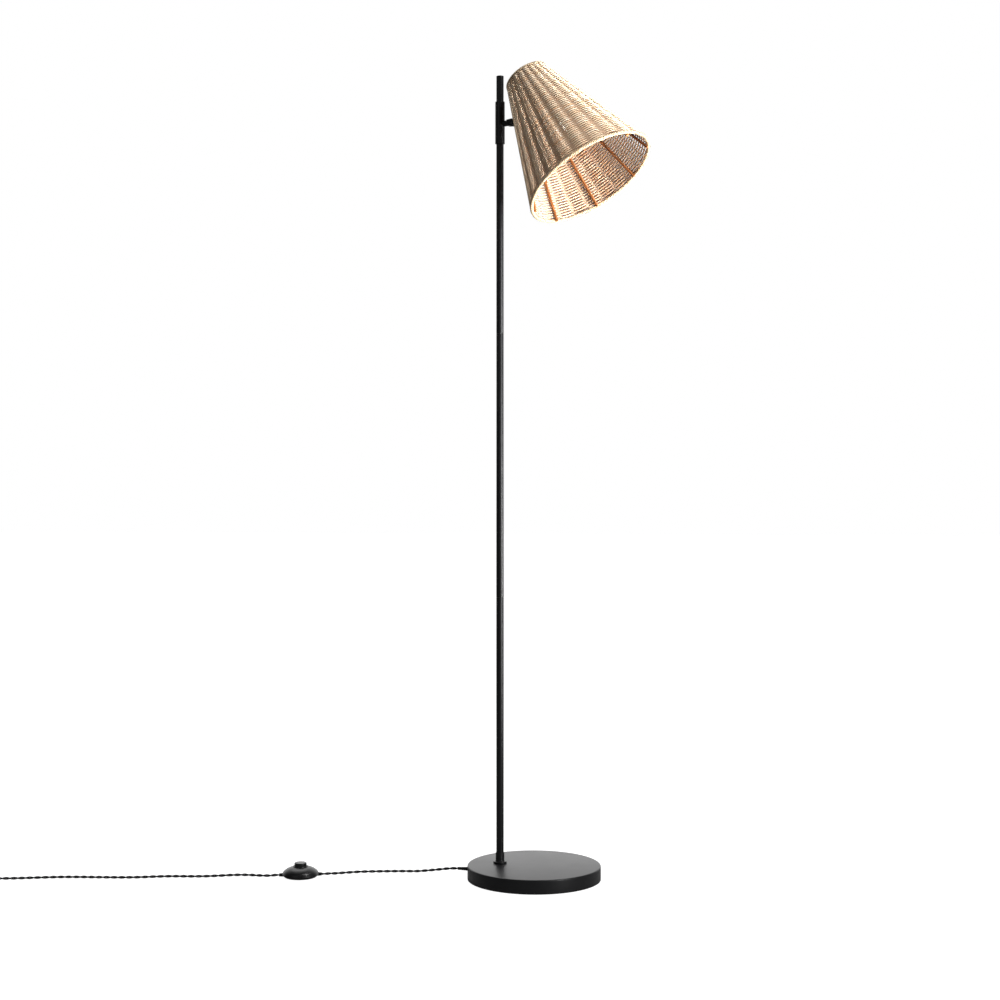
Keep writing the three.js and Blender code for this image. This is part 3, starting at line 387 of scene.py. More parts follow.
def eased(corners, steps=4):  # corners are (radius, height) or (radius, height, rounding)
    line = []
    for i, corner in enumerate(corners):
        here = Vector(corner[:2])
        rounding = corner[2] if len(corner) > 2 else 0
        if not rounding or i in (0, len(corners) - 1):
            line.append(here)
            continue
        back = Vector(corners[i - 1][:2]) - here
        onward = Vector(corners[i + 1][:2]) - here
        reach = min(rounding, back.length * 0.49, onward.length * 0.49)
        start, end = here + back.normalized() * reach, here + onward.normalized() * reach
        for k in range(steps + 1):
            t = k / steps
            line.append(start * (1 - t) ** 2 + here * 2 * t * (1 - t) + end * t ** 2)
    return line


def ringMesh(name, rings, matrix=None, closed=False, capped=False):  # a skin over rings; one point is a pole
    grid = bmesh.new()
    made = [[grid.verts.new(point) for point in ring] for ring in rings]
    for low, high in zip(made, made[1:] + made[:1] if closed else made[1:]):
        for k in range(max(len(low), len(high))):
            corner = dict.fromkeys((low[k % len(low)], low[(k + 1) % len(low)],
                                    high[(k + 1) % len(high)], high[k % len(high)]))
            if len(corner) > 2:
                grid.faces.new(list(corner))
    if capped:
        grid.faces.new(made[0])
        grid.faces.new(made[-1][::-1])
    bmesh.ops.recalc_face_normals(grid, faces=grid.faces)
    return keepMesh(name, grid, matrix)


def turnedMesh(name, corners, steps=96, matrix=None, closed=False):
    line = eased([(r * mm, h * mm, *[c * mm for c in rest]) for r, h, *rest in corners])
    rings = [[(point.x * cos(tau * k / steps), point.x * sin(tau * k / steps), point.y)
              for k in range(1 if point.x < 1e-7 else steps)] for point in line]
    return ringMesh(name, rings, matrix, closed)


def turnedPiece(name, corners, material, steps=96, matrix=None, closed=False, body="stand"):
    return finishPiece(name, turnedMesh(name, corners, steps, matrix, closed), material, body)


def rod(radius, low, high, matrix=None, steps=48, edge=0.0):
    return turnedMesh("rod", [(0, low), (radius, low, edge), (radius, high, edge), (0, high)], steps, matrix)


def block(x, y, z):
    grid = bmesh.new()
    bmesh.ops.create_cube(grid, size=1.0)
    for vert in grid.verts:
        vert.co = [((low + high) / 2 + c * (high - low)) * mm for c, (low, high) in zip(vert.co, (x, y, z))]
    return keepMesh("block", grid)


def prismMesh(name, outline, thickness, edge):  # an outline in XZ, thick along Y, with rounded edges
    grid = bmesh.new()
    face = grid.faces.new([grid.verts.new((x * mm, -thickness * mm / 2, z * mm)) for x, z in outline])
    made = bmesh.ops.extrude_face_region(grid, geom=[face])
    moved = [g for g in made["geom"] if isinstance(g, bmesh.types.BMVert)]
    bmesh.ops.translate(grid, verts=moved, vec=(0, thickness * mm, 0))
    bmesh.ops.recalc_face_normals(grid, faces=grid.faces)
    rims = [e for e in grid.edges if len(e.link_faces) == 2 and e.calc_face_angle() > 0.9]
    bmesh.ops.bevel(grid, geom=rims, offset=edge * mm, segments=3, affect="EDGES", profile=0.5)
    return keepMesh(name, grid)


def carved(mesh, joins=(), cuts=()):  # adds the joins to the mesh, then takes the cuts away
    items = [addObject("carving", mesh)]
    for operation, shapes in (("UNION", joins), ("DIFFERENCE", cuts)):
        for shape in shapes:
            items.append(addObject("carvingTool", shape))
            modifier = items[0].modifiers.new("carve", "BOOLEAN")
            modifier.operation = operation
            modifier.solver = "EXACT"
            modifier.object = items[-1]
    made = plainMesh(items[0], mesh.name)
    for item in items:
        bpy.data.objects.remove(item)
    return made


def arc(x, z, radius, low, high, steps=20):
    turns = [radians(low + (high - low) * i / steps) for i in range(steps + 1)]
    return [(x + radius * cos(turn), z + radius * sin(turn)) for turn in turns]


def wave(radius, depth, low, high, pitch, steps=6):  # a rounded thread's outline
    count = round(abs(high - low) / pitch * steps)
    return [(radius - depth * (0.5 - 0.5 * cos(tau * i / steps)), low + (high - low) * i / count)
            for i in range(count + 1)]


# Geometry tree helpers

def startTree(name, sizes, takesCurve=False):  # each size becomes a named input of its own kind
    tree = bpy.data.node_groups.new(name, "GeometryNodeTree")
    kinds = {int: "NodeSocketInt", float: "NodeSocketFloat", bpy.types.Material: "NodeSocketMaterial"}
    inputs = {"Geometry": "NodeSocketGeometry"} if takesCurve else {}
    inputs.update({key: kinds[type(value)] for key, value in sizes.items()})
    for key, kind in inputs.items():
        tree.interface.new_socket(key, in_out="INPUT", socket_type=kind)
    tree.interface.new_socket("Geometry", in_out="OUTPUT", socket_type="NodeSocketGeometry")
    entry = tree.nodes.new("NodeGroupInput")
    return tree, {socket.name: Wire(tree, socket) for socket in entry.outputs if socket.name}


def endTree(geometry, material):
    real = geometry.into("SetShadeSmooth").into("RealizeInstances")
    feed(geometry.tree.nodes.new("NodeGroupOutput").inputs[0], real.into("SetMaterial", {"Material": material}))


def store(geometry, name, value, kind="FLOAT", domain="POINT"):
    return geometry.into("StoreNamedAttribute", {"Name": name, "Value": value}, data_type=kind, domain=domain)


def named(tree, name):  # a number that was stored
    return add(tree, "GeometryNodeInputNamedAttribute", {"Name": name}, data_type="FLOAT")


def circle(tree, points):
    return add(tree, "GeometryNodeCurvePrimitiveCircle", {"Resolution": points, "Radius": 1.0})


def alongCurve(tree, out="Factor"):
    return add(tree, "GeometryNodeSplineParameter", out=out)


def repeated(line, amount, name):  # copies that remember their number
    copies = line.into("DuplicateElements", {"Amount": amount}, domain="SPLINE")
    return store(copies, name, Wire(line.tree, copies.socket.node.outputs["Duplicate Index"]), domain="CURVE")


def wander(place, scale, w):  # soft noise about zero
    return noise(place, scale, 2.0, 0.5, w=w) - 0.5


def byIndex(low, high, index, seed):
    node = index.tree.nodes.new("FunctionNodeRandomValue")
    node.data_type = "FLOAT"
    sockets = [s for s in node.inputs if s.enabled]
    for socket, value in zip(sockets, (low, high, index, seed)):
        feed(socket, value)
    return Wire(index.tree, [s for s in node.outputs if s.enabled][0])


def toned(lines, index, seed, domain="CURVE"):  # each strand's own tone
    return store(lines, "tone", byIndex(0.0, 1.0, index, seed), domain=domain)


def sectionCurve(sides, width, thickness):  # a strand's section, which remembers where round it a point is
    tree, width, thickness = width.tree, width * 0.5, thickness * 0.5
    marked = store(circle(tree, sides), "around", add(tree, "GeometryNodeInputPosition"), "FLOAT_VECTOR")
    return marked.into("Transform", {"Scale": vector(thickness, width, 1.0)})


def swept(lines, section, swell, caps=False):  # some versions take the swell from the curve, some by a socket
    solid = lines.into("CurveToMesh", {"Profile Curve": section, "Fill Caps": caps})
    inputs = solid.socket.node.inputs
    if "Scale" in inputs:
        feed(inputs["Scale"], swell)
    return solid


def grow(name, tree, sizes, nodes, matrix=None, source=None, body="head", angle=None):  # a piece from a tree
    maker = addObject(name + "Maker", source or bpy.data.meshes.new(name + "Start"))
    modifier = maker.modifiers.new("made", "NODES")
    modifier.node_group = tree
    for item in tree.interface.items_tree:
        if item.in_out == "INPUT" and item.name in sizes:
            modifier[item.identifier] = sizes[item.name]
    mesh = plainMesh(maker, name)
    bpy.data.objects.remove(maker)
    return finishPiece(name, mesh, sizes["Material"], body, nodes, angle, matrix)


# Camera, lamps and floor

view = {
    "place": (0.5788, -2.9551, 0.7105), "azimuth": 12.3, "lens": 57.78, "sensor": 36, "aim": (0, 0, 1.4),
    "worldLight": 0.19, "floorLight": 0.95, "floorDrop": 0.0004, "floorHalf": 30,
}
ahead = Vector((-sin(radians(view["azimuth"])), cos(radians(view["azimuth"])), 0))
right = Vector((ahead.y, -ahead.x, 0))
lamps = {  # place is right, ahead and up from the aim; size is width and height; spread is in degrees
    "keyLamp": {"place": (2.53, -2.27, -0.25), "power": 70.0, "size": (0.55, 1.4), "spread": 180},
    "highLamp": {"place": (1.6, -0.9, 2.3), "power": 23.0, "size": (1.0, 1.0), "spread": 90},
    "lowLamp": {"place": (2.0, -0.7, -1.0), "power": 24.0, "size": (1.0, 0.8), "spread": 50},
    "fillLamp": {"place": (-2.0, -2.6, 1.1), "power": 1.8, "size": (2.0, 2.0), "spread": 90},
    "backLamp": {"place": (-0.8, 2.0, 2.0), "power": 18.0, "size": (2.0, 2.0), "spread": 120},
}


def setView():
    camera = addObject("photoCamera", bpy.data.cameras.new("photoCamera"))
    camera.location = view["place"]
    camera.rotation_euler = (radians(90), 0, radians(view["azimuth"]))
    camera.data.lens = view["lens"]
    camera.data.sensor_width = view["sensor"]
    scene.camera = camera


def addLamp(name, place, power, size, spread):
    x, y, z = place
    offset = right * x + ahead * y + Vector((0, 0, z))
    lamp = addObject(name, bpy.data.lights.new(name, "AREA"))
    lamp.data.energy = power
    lamp.data.shape = "RECTANGLE"
    lamp.data.size, lamp.data.size_y = size
    lamp.data.spread = radians(spread)
    lamp.location = Vector(view["aim"]) + offset
    lamp.rotation_euler = (-offset).to_track_quat("-Z", "Y").to_euler()


def ray(tree, kind):
    return add(tree, "ShaderNodeLightPath", out="Is " + kind + " Ray")


def setWorld():
    mirror = {"near": 0.3, "far": 0.9, "gain": 1.45, "least": 0.1}  # what gloss sees: brighter behind the lamp
    world = bpy.data.worlds.new("paleStudio")
    scene.world = world
    world.use_nodes = True
    tree = world.node_tree
    seen = ray(tree, "Camera").math("MAXIMUM", ray(tree, "Transmission"))
    glossy = ray(tree, "Glossy")
    direction = add(tree, "ShaderNodeTexCoord", out="Generated")
    towards = vectorMath("DOT_PRODUCT", direction, tuple(ahead), out="Value")
    mirrored = towards.between(mirror["near"], mirror["far"]) * mirror["gain"] + mirror["least"]
    inputs = tree.nodes["Background"].inputs
    inputs["Color"].default_value = (1, 1, 1, 1)
    feed(inputs["Strength"], seen + (1 - seen) * (glossy * mirrored + (1 - glossy) * view["worldLight"]))


def addFloor():
    half = view["floorHalf"]
    mesh = bpy.data.meshes.new("paleFloor")
    corners = [(-half, -half, 0), (half, -half, 0), (half, half, 0), (-half, half, 0)]
    mesh.from_pydata(corners, [], [(0, 1, 2, 3)])
    floor = addObject("paleFloor", mesh)
    floor.location.z = -view["floorDrop"]
    material, tree = startMaterial("paleFloor", Roughness=0.9, Specular_IOR_Level=0.1)
    finishMaterial(material, (0.3, 0.3, 0.3, 1))
    strength = ray(tree, "Camera") * view["floorLight"]
    glow = add(tree, "ShaderNodeEmission", {"Color": (1, 1, 1, 1), "Strength": strength})
    shader = Wire(tree, tree.nodes["Principled BSDF"].outputs[0])
    feed(tree.nodes["Material Output"].inputs[0], add(tree, "ShaderNodeAddShader", {0: shader, 1: glow}))
    mesh.materials.append(material)


scene.view_settings.view_transform = "Standard"
setView()
for lampName, lampSizes in lamps.items():
    addLamp(lampName, **lampSizes)
setWorld()
addFloor()
print("camera, lamps and floor ready")


# Cord: two braided strands twisted together, from the base to the foot switch and on to the coil

cord = {"diameter": 5.3, "twistLength": 28.7, "strandSides": 8, "stepLength": 1.3, "gap": 0.3}
footSwitch = {"centre": (-433.7, -77.5), "turn": 18.4, "stubEnd": 40.2, "stubHeight": 4.4}
coil = {
    "centre": (-1018, -272), "inner": 21.5, "pitch": 5.9, "lift": 1.35, "start": 104, "end": 180, "turns": 5,
    "stepsPerTurn": 48, "tail": 24, "tailHeight": 6.7,
}
floorHeight = cord["diameter"] / 2 / cos(pi / cord["strandSides"])  # a point without a height lies on the floor
routeToSwitch = [
    (-147.6, 0, 12.5), (-158, 0, 12), (-170, 0, 10.7), (-184, 0.5, 8.6), (-200, 1.5, 6.2), (-216, 1, 4.2),
    (-232, -0.5, 3.1), (-250, -3), (-268, -7), (-286, -12), (-304, -17), (-322, -22.5), (-340, -30),
    (-356, -38.5), (-371, -47.5, 2.9), (-383, -56, 3.7),
]
routeFromSwitch = [
    (-489, -94, 3.2), (-506, -95.5), (-525, -95.5), (-545, -98.5), (-564, -105), (-582, -113.5), (-600, -121),
    (-618, -126.5), (-637, -130.5), (-656, -134), (-675, -138.5), (-694, -145), (-713, -152.5), (-732, -159),
    (-751, -164), (-771, -168), (-791, -171.5), (-811, -175), (-831, -178.5), (-851, -182.5), (-871, -187.5),
    (-890, -193.5), (-909, -200.5), (-928, -207.5), (-947, -214), (-966, -219.5), (-985, -224.5, 3),
    (-1000, -228.5, 3.6),
]


def switchExit(side):
    turn = radians(footSwitch["turn"])
    x, y = footSwitch["centre"]
    reaches = [side * (footSwitch["stubEnd"] + cord["gap"] + more) for more in (0, cord["diameter"])]
    return [(x + reach * cos(turn), y + reach * sin(turn), footSwitch["stubHeight"]) for reach in reaches]


def easedShare(t):
    return t * t * (3 - 2 * t)


def coilRoute():
    start, end = radians(coil["start"]), radians(coil["end"])
    whole = tau * coil["turns"] + end - start
    steps = round(coil["stepsPerTurn"] * whole / tau)
    points = []
    for i in range(steps + 1):
        turn = whole * i / steps
        radius = coil["inner"] + coil["pitch"] * abs(turn - whole / 2) / tau
        rise = easedShare(min(1, max(0, (turn - (whole - pi) / 2) / pi)))
        points.append(Vector((coil["centre"][0] + radius * cos(start + turn),
                              coil["centre"][1] + radius * sin(start + turn),
                              cord["diameter"] / 2 + coil["lift"] + coil["pitch"] * rise)))
    heading = Vector((-sin(start), cos(start), 0))
    out = Vector((-sin(end), cos(end), 0))
    straight = cord["diameter"]
    leave = points[-1]
    tailEnd = leave + out * coil["tail"]
    tailEnd.z = coil["tailHeight"]
    bend = tailEnd - out * straight
    tail = []
    for t in (0.25, 0.5, 0.75):
        point = leave.lerp(bend, t)
        point.z = leave.z + (bend.z - leave.z) * easedShare(t)
        tail.append(point)
    lead = [points[0] - heading * back for back in (2 * straight + cord["gap"], straight)]
    return [*lead, *points, *tail, bend, tailEnd], out


def through(points, gap=4.0):  # a smooth line through given points, in metres
    places = [Vector((*p, floorHeight)[:3]) for p in points]
    padded = [places[0] * 2 - places[1], *places, places[-1] * 2 - places[-2]]
    line = [places[0] * mm]
    for a, b, c, d in zip(padded, padded[1:], padded[2:], padded[3:]):
        count = max(1, round((c - b).length / gap))
        ends = [(a - b).length ** 0.5, (b - c).length ** 0.5, (c - d).length ** 0.5]
        m1 = ((b - a) / ends[0] - (c - a) / (ends[0] + ends[1]) + (c - b) / ends[1]) * ends[1]
        m2 = ((c - b) / ends[1] - (d - b) / (ends[1] + ends[2]) + (d - c) / ends[2]) * ends[1]
        for k in range(1, count + 1):
            t = k / count
            line.append(((2 * t ** 3 - 3 * t * t + 1) * b + (t ** 3 - 2 * t * t + t) * m1
                         + (3 * t * t - 2 * t ** 3) * c + (t ** 3 - t * t) * m2) * mm)
    return line


def twistedPairTree(sizes):
    tree, size = startTree("twistedPair", sizes, takesCurve=True)
    radius = size["Strand Radius"]
    section = sectionCurve(size["Sides"], radius * 2, radius * 2)
    strands = tree.nodes.new("GeometryNodeJoinGeometry")
    for turn in (0.0, pi):
        line = size["Geometry"].into("ResampleCurve", {"Length": size["Step"]}, mode="LENGTH")
        line = store(line.into("SetCurveNormal", mode="Z_UP"), "along", alongCurve(tree, "Length"))
        angle = named(tree, "along") * tau / size["Twist Length"] + turn
        normal = add(tree, "GeometryNodeInputNormal")
        side = vectorMath("CROSS_PRODUCT", add(tree, "GeometryNodeInputTangent"), normal)
        offset = vectorMath("ADD", scaled(normal, angle.cos() * radius), scaled(side, angle.sin() * radius))
        line = line.into("SetPosition", {"Offset": offset})
        feed(strands.inputs[0], line.into("CurveToMesh", {"Profile Curve": section, "Fill Caps": True}))
    endTree(Wire(tree, strands.outputs[0]), size["Material"])
    return tree


def lineLength(points):
    return sum((b - a).length for a, b in zip(points, points[1:]))


pairSizes = {
    "Strand Radius": cord["diameter"] * mm / 4, "Twist Length": cord["twistLength"] * mm,
    "Step": cord["stepLength"] * mm, "Sides": cord["strandSides"], "Material": braid,
}
pairTree = twistedPairTree(pairSizes)


def twistedCord(name, points, nodes):
    curve = bpy.data.curves.new(name + "Line", "CURVE")
    curve.dimensions = "3D"
    spline = curve.splines.new("POLY")
    spline.points.add(len(points) - 1)
    for place, point in zip(spline.points, points):
        place.co = (*point, 1)
    return grow(name, pairTree, pairSizes, nodes, source=curve, body="stand")


coilPoints, coilOut = coilRoute()
firstLine = through([*routeToSwitch, *reversed(switchExit(1))])
secondLine = through([*switchExit(-1), *routeFromSwitch, *coilPoints], gap=3.0)
cordToSwitch = twistedCord("cordToSwitch", firstLine, ["cord_to_switch"])
cordToPlug = twistedCord("cordToPlug", secondLine, ["cord_from_switch", "cord_coil"])
firstLength, secondLength = lineLength(firstLine), lineLength(secondLine)
print("cord ready:", round(firstLength, 3), "m to the switch and", round(secondLength, 3), "m on")


# Solid pieces: turned, cut and lofted

arm = {
    "height": 1418.6, "drop": 2.4, "turn": -18.7, "reach": 27.5, "tilt": 33.8, "axisReach": 69.73,
    "topRise": 51.94, "leadHole": 1.65, "screwHole": 2.1,
}
poleMatrix = shifted(-65.5, 0, 0)
swivelMatrix = shifted(-65.5, 0, arm["height"]) @ spun(arm["turn"])
headMatrix = swivelMatrix @ shifted(arm["reach"], 0, 0) @ spun(-arm["tilt"], "Y")
shadeMatrix = headMatrix @ shifted(arm["axisReach"], 0, arm["topRise"])
holderMatrix = headMatrix @ shifted(arm["axisReach"], 0, 0)  # height 0 is where the stem enters
switchMatrix = shifted(*footSwitch["centre"], 0) @ spun(footSwitch["turn"])
plugStart = coilPoints[-1] + coilOut * cord["gap"]
plugMatrix = shifted(*plugStart.xy, 0) @ Matrix.Rotation(atan2(coilOut.y, coilOut.x), 4, "Z")
reliefMatrix = shifted(0, 0, 12.5)


def makeBase():
    sizes = {
        "radius": 125, "height": 26.6, "wall": 1.2, "edge": 2.5, "lift": 0.8, "poleHole": 5.3, "cordHole": 4.1,
    }
    radius, height, wall, edge, lift, poleHole, cordHole = sizes.values()
    inside, under = radius - wall, height - wall
    cover = turnedMesh("baseCover", [
        (0, height), (radius, height, edge), (radius, lift), (inside, lift), (inside, under, edge - wall),
        (0, under),
    ], 192)
    cuts = [rod(poleHole, 20, 30, poleMatrix), rod(cordHole, -130, -120, reliefMatrix @ toX)]
    finishPiece("baseCover", carved(cover, cuts=cuts), blackPaint)


def makePole():
    sizes = {"radius": 7.0, "bore": 5.3, "edge": 0.35}
    tubes = {  # foot and top of each
        "Lower": (36.4, 526.85), "Middle": (527.15, 1023.85), "Upper": (1024.15, 1412.6),
        "Top": (1426.6, 1507.2),
    }
    outer, bore, edge = sizes.values()
    for place, (low, high) in tubes.items():
        corners = [(bore, low), (outer, low, edge), (outer, high, edge), (bore, high)]
        turnedPiece("pole" + place + "Tube", corners, blackPaint, 64, poleMatrix, True)
    turnedPiece("footFlange", [
        (bore, 26.9), (12.6, 26.9, 0.2), (12.6, 30.5, 1.0), (bore, 30.5),
    ], blackPaint, 96, poleMatrix, True)
    turnedPiece("footFerrule", [
        (bore, 30.8), (9.1, 30.8, 0.3), (8.2, 32.6, 0.8), (8.2, 47.0, 0.7), (7.3, 47.0), (7.3, 36.1),
        (bore, 36.1),
    ], blackPaint, 96, poleMatrix, True)
    turnedPiece("poleEndPlug", [
        (0, 1499.5), (5.0, 1499.5, 0.4), (5.0, 1507.5), (outer, 1507.5, 0.15), (outer, 1509, 0.6), (0, 1509),
    ], blackPaint, 64, poleMatrix)


def makeSwivel():
    sizes = {
        "sleeve": 9.1, "half": 39.5, "edge": 0.8, "bore": 8.0, "neck": 5.45, "fork": 6.5, "root": 17,
        "slot": 3.5, "forkWidth": 12.4, "forkEdge": 0.5, "cutReach": 9, "overrun": 2,
    }
    radius, half, edge, bore, neck, fork, root, slot, forkWidth, forkEdge, cut, overrun = sizes.values()
    reach, low, high = arm["reach"], arm["drop"] - half, arm["drop"] + half
    outline = [(root, -neck), *arc(reach, 0, fork, -90, 90), (root, neck)]
    sleeve = carved(rod(radius, low, high, None, 96, edge), [
        rod(neck, 0, root + overrun, toX, 64), prismMesh("fork", outline, forkWidth, forkEdge),
    ], [
        rod(bore, low - overrun, high + overrun, None, 96),
        block((reach - fork - 0.6, reach + 10), (-slot, slot), (-cut, cut)),
        rod(arm["leadHole"], 0, reach - 5, toX, 24),
        rod(arm["screwHole"], -cut, cut, shifted(reach, 0, 0) @ toY, 32),
    ])
    finishPiece("swivelSleeve", sleeve, blackPaint, "swivel", matrix=swivelMatrix)

    crossMatrix = swivelMatrix @ shifted(reach, 0, 0) @ toY
    screw = turnedMesh("hingeScrew", [
        (0, -10.5), (1.8, -10.5, 0.4), (1.8, 6.5), (3.3, 6.5, 0.15), (3.3, 8.5, 0.7), (0, 8.5),
    ], 48)
    screw = carved(screw, cuts=[rod(1.45, 7.2, 9, steps=6)])
    finishPiece("hingeScrew", screw, blackPaint, "swivel", matrix=crossMatrix)
    turnedPiece("hingeNut", [
        (2.1, -9.5, 0.2), (3.9, -9.5, 0.35), (3.9, -6.5, 0.35), (2.1, -6.5),
    ], blackPaint, 6, crossMatrix, True, "swivel")


def makeTongue():
    sizes = {"eye": 6.3, "thickness": 6.4, "edge": 0.45, "stem": 4.2, "end": 57.0, "root": 9.6, "half": 4.0}
    eye, thickness, edge, stem, end, root, half = sizes.values()
    outline = [(root, -half), (root, half), *arc(0, 0, eye, 90, 270)]
    tongue = carved(prismMesh("eye", outline, thickness, edge), [rod(stem, 8.4, end, toX, 64, 0.4)], [
        rod(arm["screwHole"], -9, 9, toY, 32), rod(arm["leadHole"], 8.0, end + 3.5, toX, 24),
    ])
    finishPiece("knuckleTongue", tongue, blackPaint, "head", matrix=headMatrix)


def makeLampholder():
    sizes = {
        "cup": 20, "cupTop": 20.8, "cupFoot": -17.2, "cupWall": 1, "hole": 4.5, "body": 18.6, "skirt": 18.9,
        "bore": 14.7, "bodyFoot": -42.2, "ring": 25, "ringBore": 19.2, "gripSteps": 144, "gripDepth": 0.6,
    }
    cup, inner, top, foot = sizes["cup"], sizes["cup"] - sizes["cupWall"], sizes["cupTop"], sizes["cupFoot"]
    cover = turnedMesh("lampholderCup", [
        (0, top), (cup, top, 7), (cup, foot, 0.3), (inner, foot), (inner, top - sizes["cupWall"], 6.5),
        (0, top - sizes["cupWall"]),
    ])
    cover = carved(cover, cuts=[rod(sizes["hole"], -30, 0, toX)])
    finishPiece("lampholderCup", cover, blackPaint, "head", matrix=holderMatrix)

    skirt, bore, foot = sizes["skirt"], sizes["bore"], sizes["bodyFoot"]
    turnedPiece("lampholderBody", [
        (0, -8.2), (sizes["body"], -8.2, 0.8), (sizes["body"], -17.5), (20, -17.5, 0.3), (20, -19.5, 0.3),
        (skirt, -19.5), *wave(skirt, 0.5, -21.2, -39.2, 2.0), (skirt, foot, 0.6), (bore, foot, 0.6),
        (bore, -11.7), (0, -11.7),
    ], holderPlastic, 96, holderMatrix, body="head")

    outer, bore, steps = sizes["ring"], sizes["ringBore"], sizes["gripSteps"]
    ring = turnedMesh("lampholderRing", [
        (bore, -27.7), (outer, -27.7, 0.8), (outer, -21.7, 0.8), (bore, -21.7),
    ], steps, closed=True)
    for vert in ring.vertices:  # a grip round the outside: two steps in, two steps out
        across = hypot(vert.co.x, vert.co.y)
        if across > (outer - 1.5) * mm and round(atan2(vert.co.y, vert.co.x) / (tau / steps)) % 4 in (0, 1):
            vert.co.xy *= (across - sizes["gripDepth"] * mm) / across
    finishPiece("lampholderRing", ring, holderPlastic, "head", matrix=holderMatrix)

    turnedPiece("lampholderShell", [
        (14.3, -14.2), *wave(14.3, 0.25, -15.2, -37.2, 3.6), (14.3, -39.2), (13.8, -39.2),
        *reversed(wave(13.8, 0.25, -15.2, -37.2, 3.6)), (13.8, -14.2),
    ], brass, 72, holderMatrix, True, "head")


def makeFitter():
    sizes = {
        "bore": 19.2, "radius": 26, "bottom": -21.4, "top": -19.8, "armEnd": 54.3, "armHalf": 2.5, "turn": 26,
    }
    bore, radius, low, high, armEnd, armHalf, turn = sizes.values()
    disc = turnedMesh("shadeFitter", [
        (bore, low), (radius, low, 0.4), (radius, high, 0.4), (bore, high),
    ], closed=True)
    arms = []
    for i in range(4):
        arms.append(block((radius - 2, armEnd), (-armHalf, armHalf), (low, high)))
        arms[-1].transform(spun(turn + 90 * i))
    finishPiece("shadeFitter", carved(disc, arms), blackPaint, "head", matrix=holderMatrix)


def makeBulb():
    sizes = {"globe": 22.5, "middle": -65.7, "innerShare": 0.965, "neckAngle": 36, "steps": 28}
    turnedPiece("bulbCap", [
        (0, -13.6), (3.4, -13.6, 0.8), (3.4, -15.2, 0.2), (13.2, -15.2, 2.2),
        *wave(13.2, 0.4, -18.7, -37.2, 3.6), (13.2, -39.8), (12.6, -39.8), (12.6, -16), (0, -15.8),
    ], brass, 72, holderMatrix, body="head")
    globe, middle, share, first, steps = sizes.values()
    turns = [radians(first + (180 - first) * i / steps) for i in range(steps)]
    outer = [(globe * sin(t), middle + globe * cos(t)) for t in turns]
    inner = [(r * share, middle + (h - middle) * share) for r, h in reversed(outer)]
    turnedPiece("bulbGlass", [
        (12.2, -36.8), (12.2, -46, 1.5), *outer, (0, -88.2), (0, -87.4), *inner, (11.4, -46.2, 1.4),
        (11.4, -36.8),
    ], opal, 72, holderMatrix, True, "head")


def makeFootSwitch():
    sizes = {
        "radius": 34.8, "foot": 29, "wall": 2, "stub": 3.3, "stubTip": 2.9, "collar": 13.7, "button": 11.4,
    }
    outer, foot, wall, stub, tip, collar, press = sizes.values()
    exit, height = footSwitch["stubEnd"], shifted(0, 0, footSwitch["stubHeight"])
    bowl = turnedMesh("switchLowerCase", [
        (0, 0), (foot, 0, 1.5), (outer, 4.85, 0.7), (outer - wall, 4.85), (foot - wall, wall), (0, wall),
    ], 120)
    corners = [(0, 31.8), (stub, 31.8), (stub, 35.4, 0.8), (tip, exit, 0.5), (0, exit)]
    lower = carved(bowl, [turnedMesh("stub", corners, 48, height @ spun(turn) @ toX) for turn in (0, 180)])
    lowerCase = finishPiece("switchLowerCase", lower, blackPlastic, matrix=switchMatrix)

    slope = [(outer, 0, 5.15), (32.0, 0, 10.4), (26.8, 0, 14.6), (20.5, 0, 17.6), (collar, 0, 19.5)]
    dome = [(p.x / mm, p.z / mm) for p in through(slope, gap=1.3)]
    shell = turnedMesh("switchUpperCase", [
        *dome, (collar, 21, 0.7), (collar - wall, 21, 0.3), (collar - wall, 17.5), (collar, 17.5),
        *[(r - wall, h - wall) for r, h in reversed(dome[2:-2])], (outer - 2.2, 5.15),
    ], 120, closed=True)
    upper = carved(shell, cuts=[rod(3.6, -42, 42, height @ toX)])
    upperCase = finishPiece("switchUpperCase", upper, blackPlastic, matrix=switchMatrix)

    button = turnedPiece("switchButton", [
        (0, 26.7), (8, 26.85, 2), (press, 26.95, 1.7), (press, 17.2), (12.8, 17.2, 0.3), (12.8, 15.2, 0.3),
        (9.6, 15.2), (9.6, 25.2), (0, 25.2),
    ], blackPlastic, 96, switchMatrix, body="button")
    return [lowerCase, upperCase, button]


def makeRelief():
    sizes = {
        "base": 3.8, "tip": 2.8, "start": -126.9, "length": 20.4, "grooves": 6, "first": -129.0, "pitch": 2.6,
        "depth": 0.45, "flange": 5.2, "collar": 4.6,
    }
    base, tip, start, length, grooves, first, pitch, depth, flange, collar = sizes.values()
    end = start - length
    grooved = []
    for i in range(grooves):
        place = first - pitch * i
        radius = base - (base - tip) * (start - place) / length
        low = radius - depth
        grooved += [(radius, place, 0.3), (low, place - 0.4, 0.2), (low, place - 1.0, 0.2),
                    (radius - 0.05, place - 1.4, 0.3)]
    return turnedPiece("cordRelief", [
        (0, -121.9), (flange, -121.9, 0.2), (flange, -123.5, 0.2), (base, -123.5), (base, -125.3),
        (collar, -125.3, 0.2), (collar, start, 0.6), (base, start), *grooved, (tip + 0.05, end + 0.9),
        (tip, end, 0.5), (0, end),
    ], blackPlastic, 64, reliefMatrix @ toX)


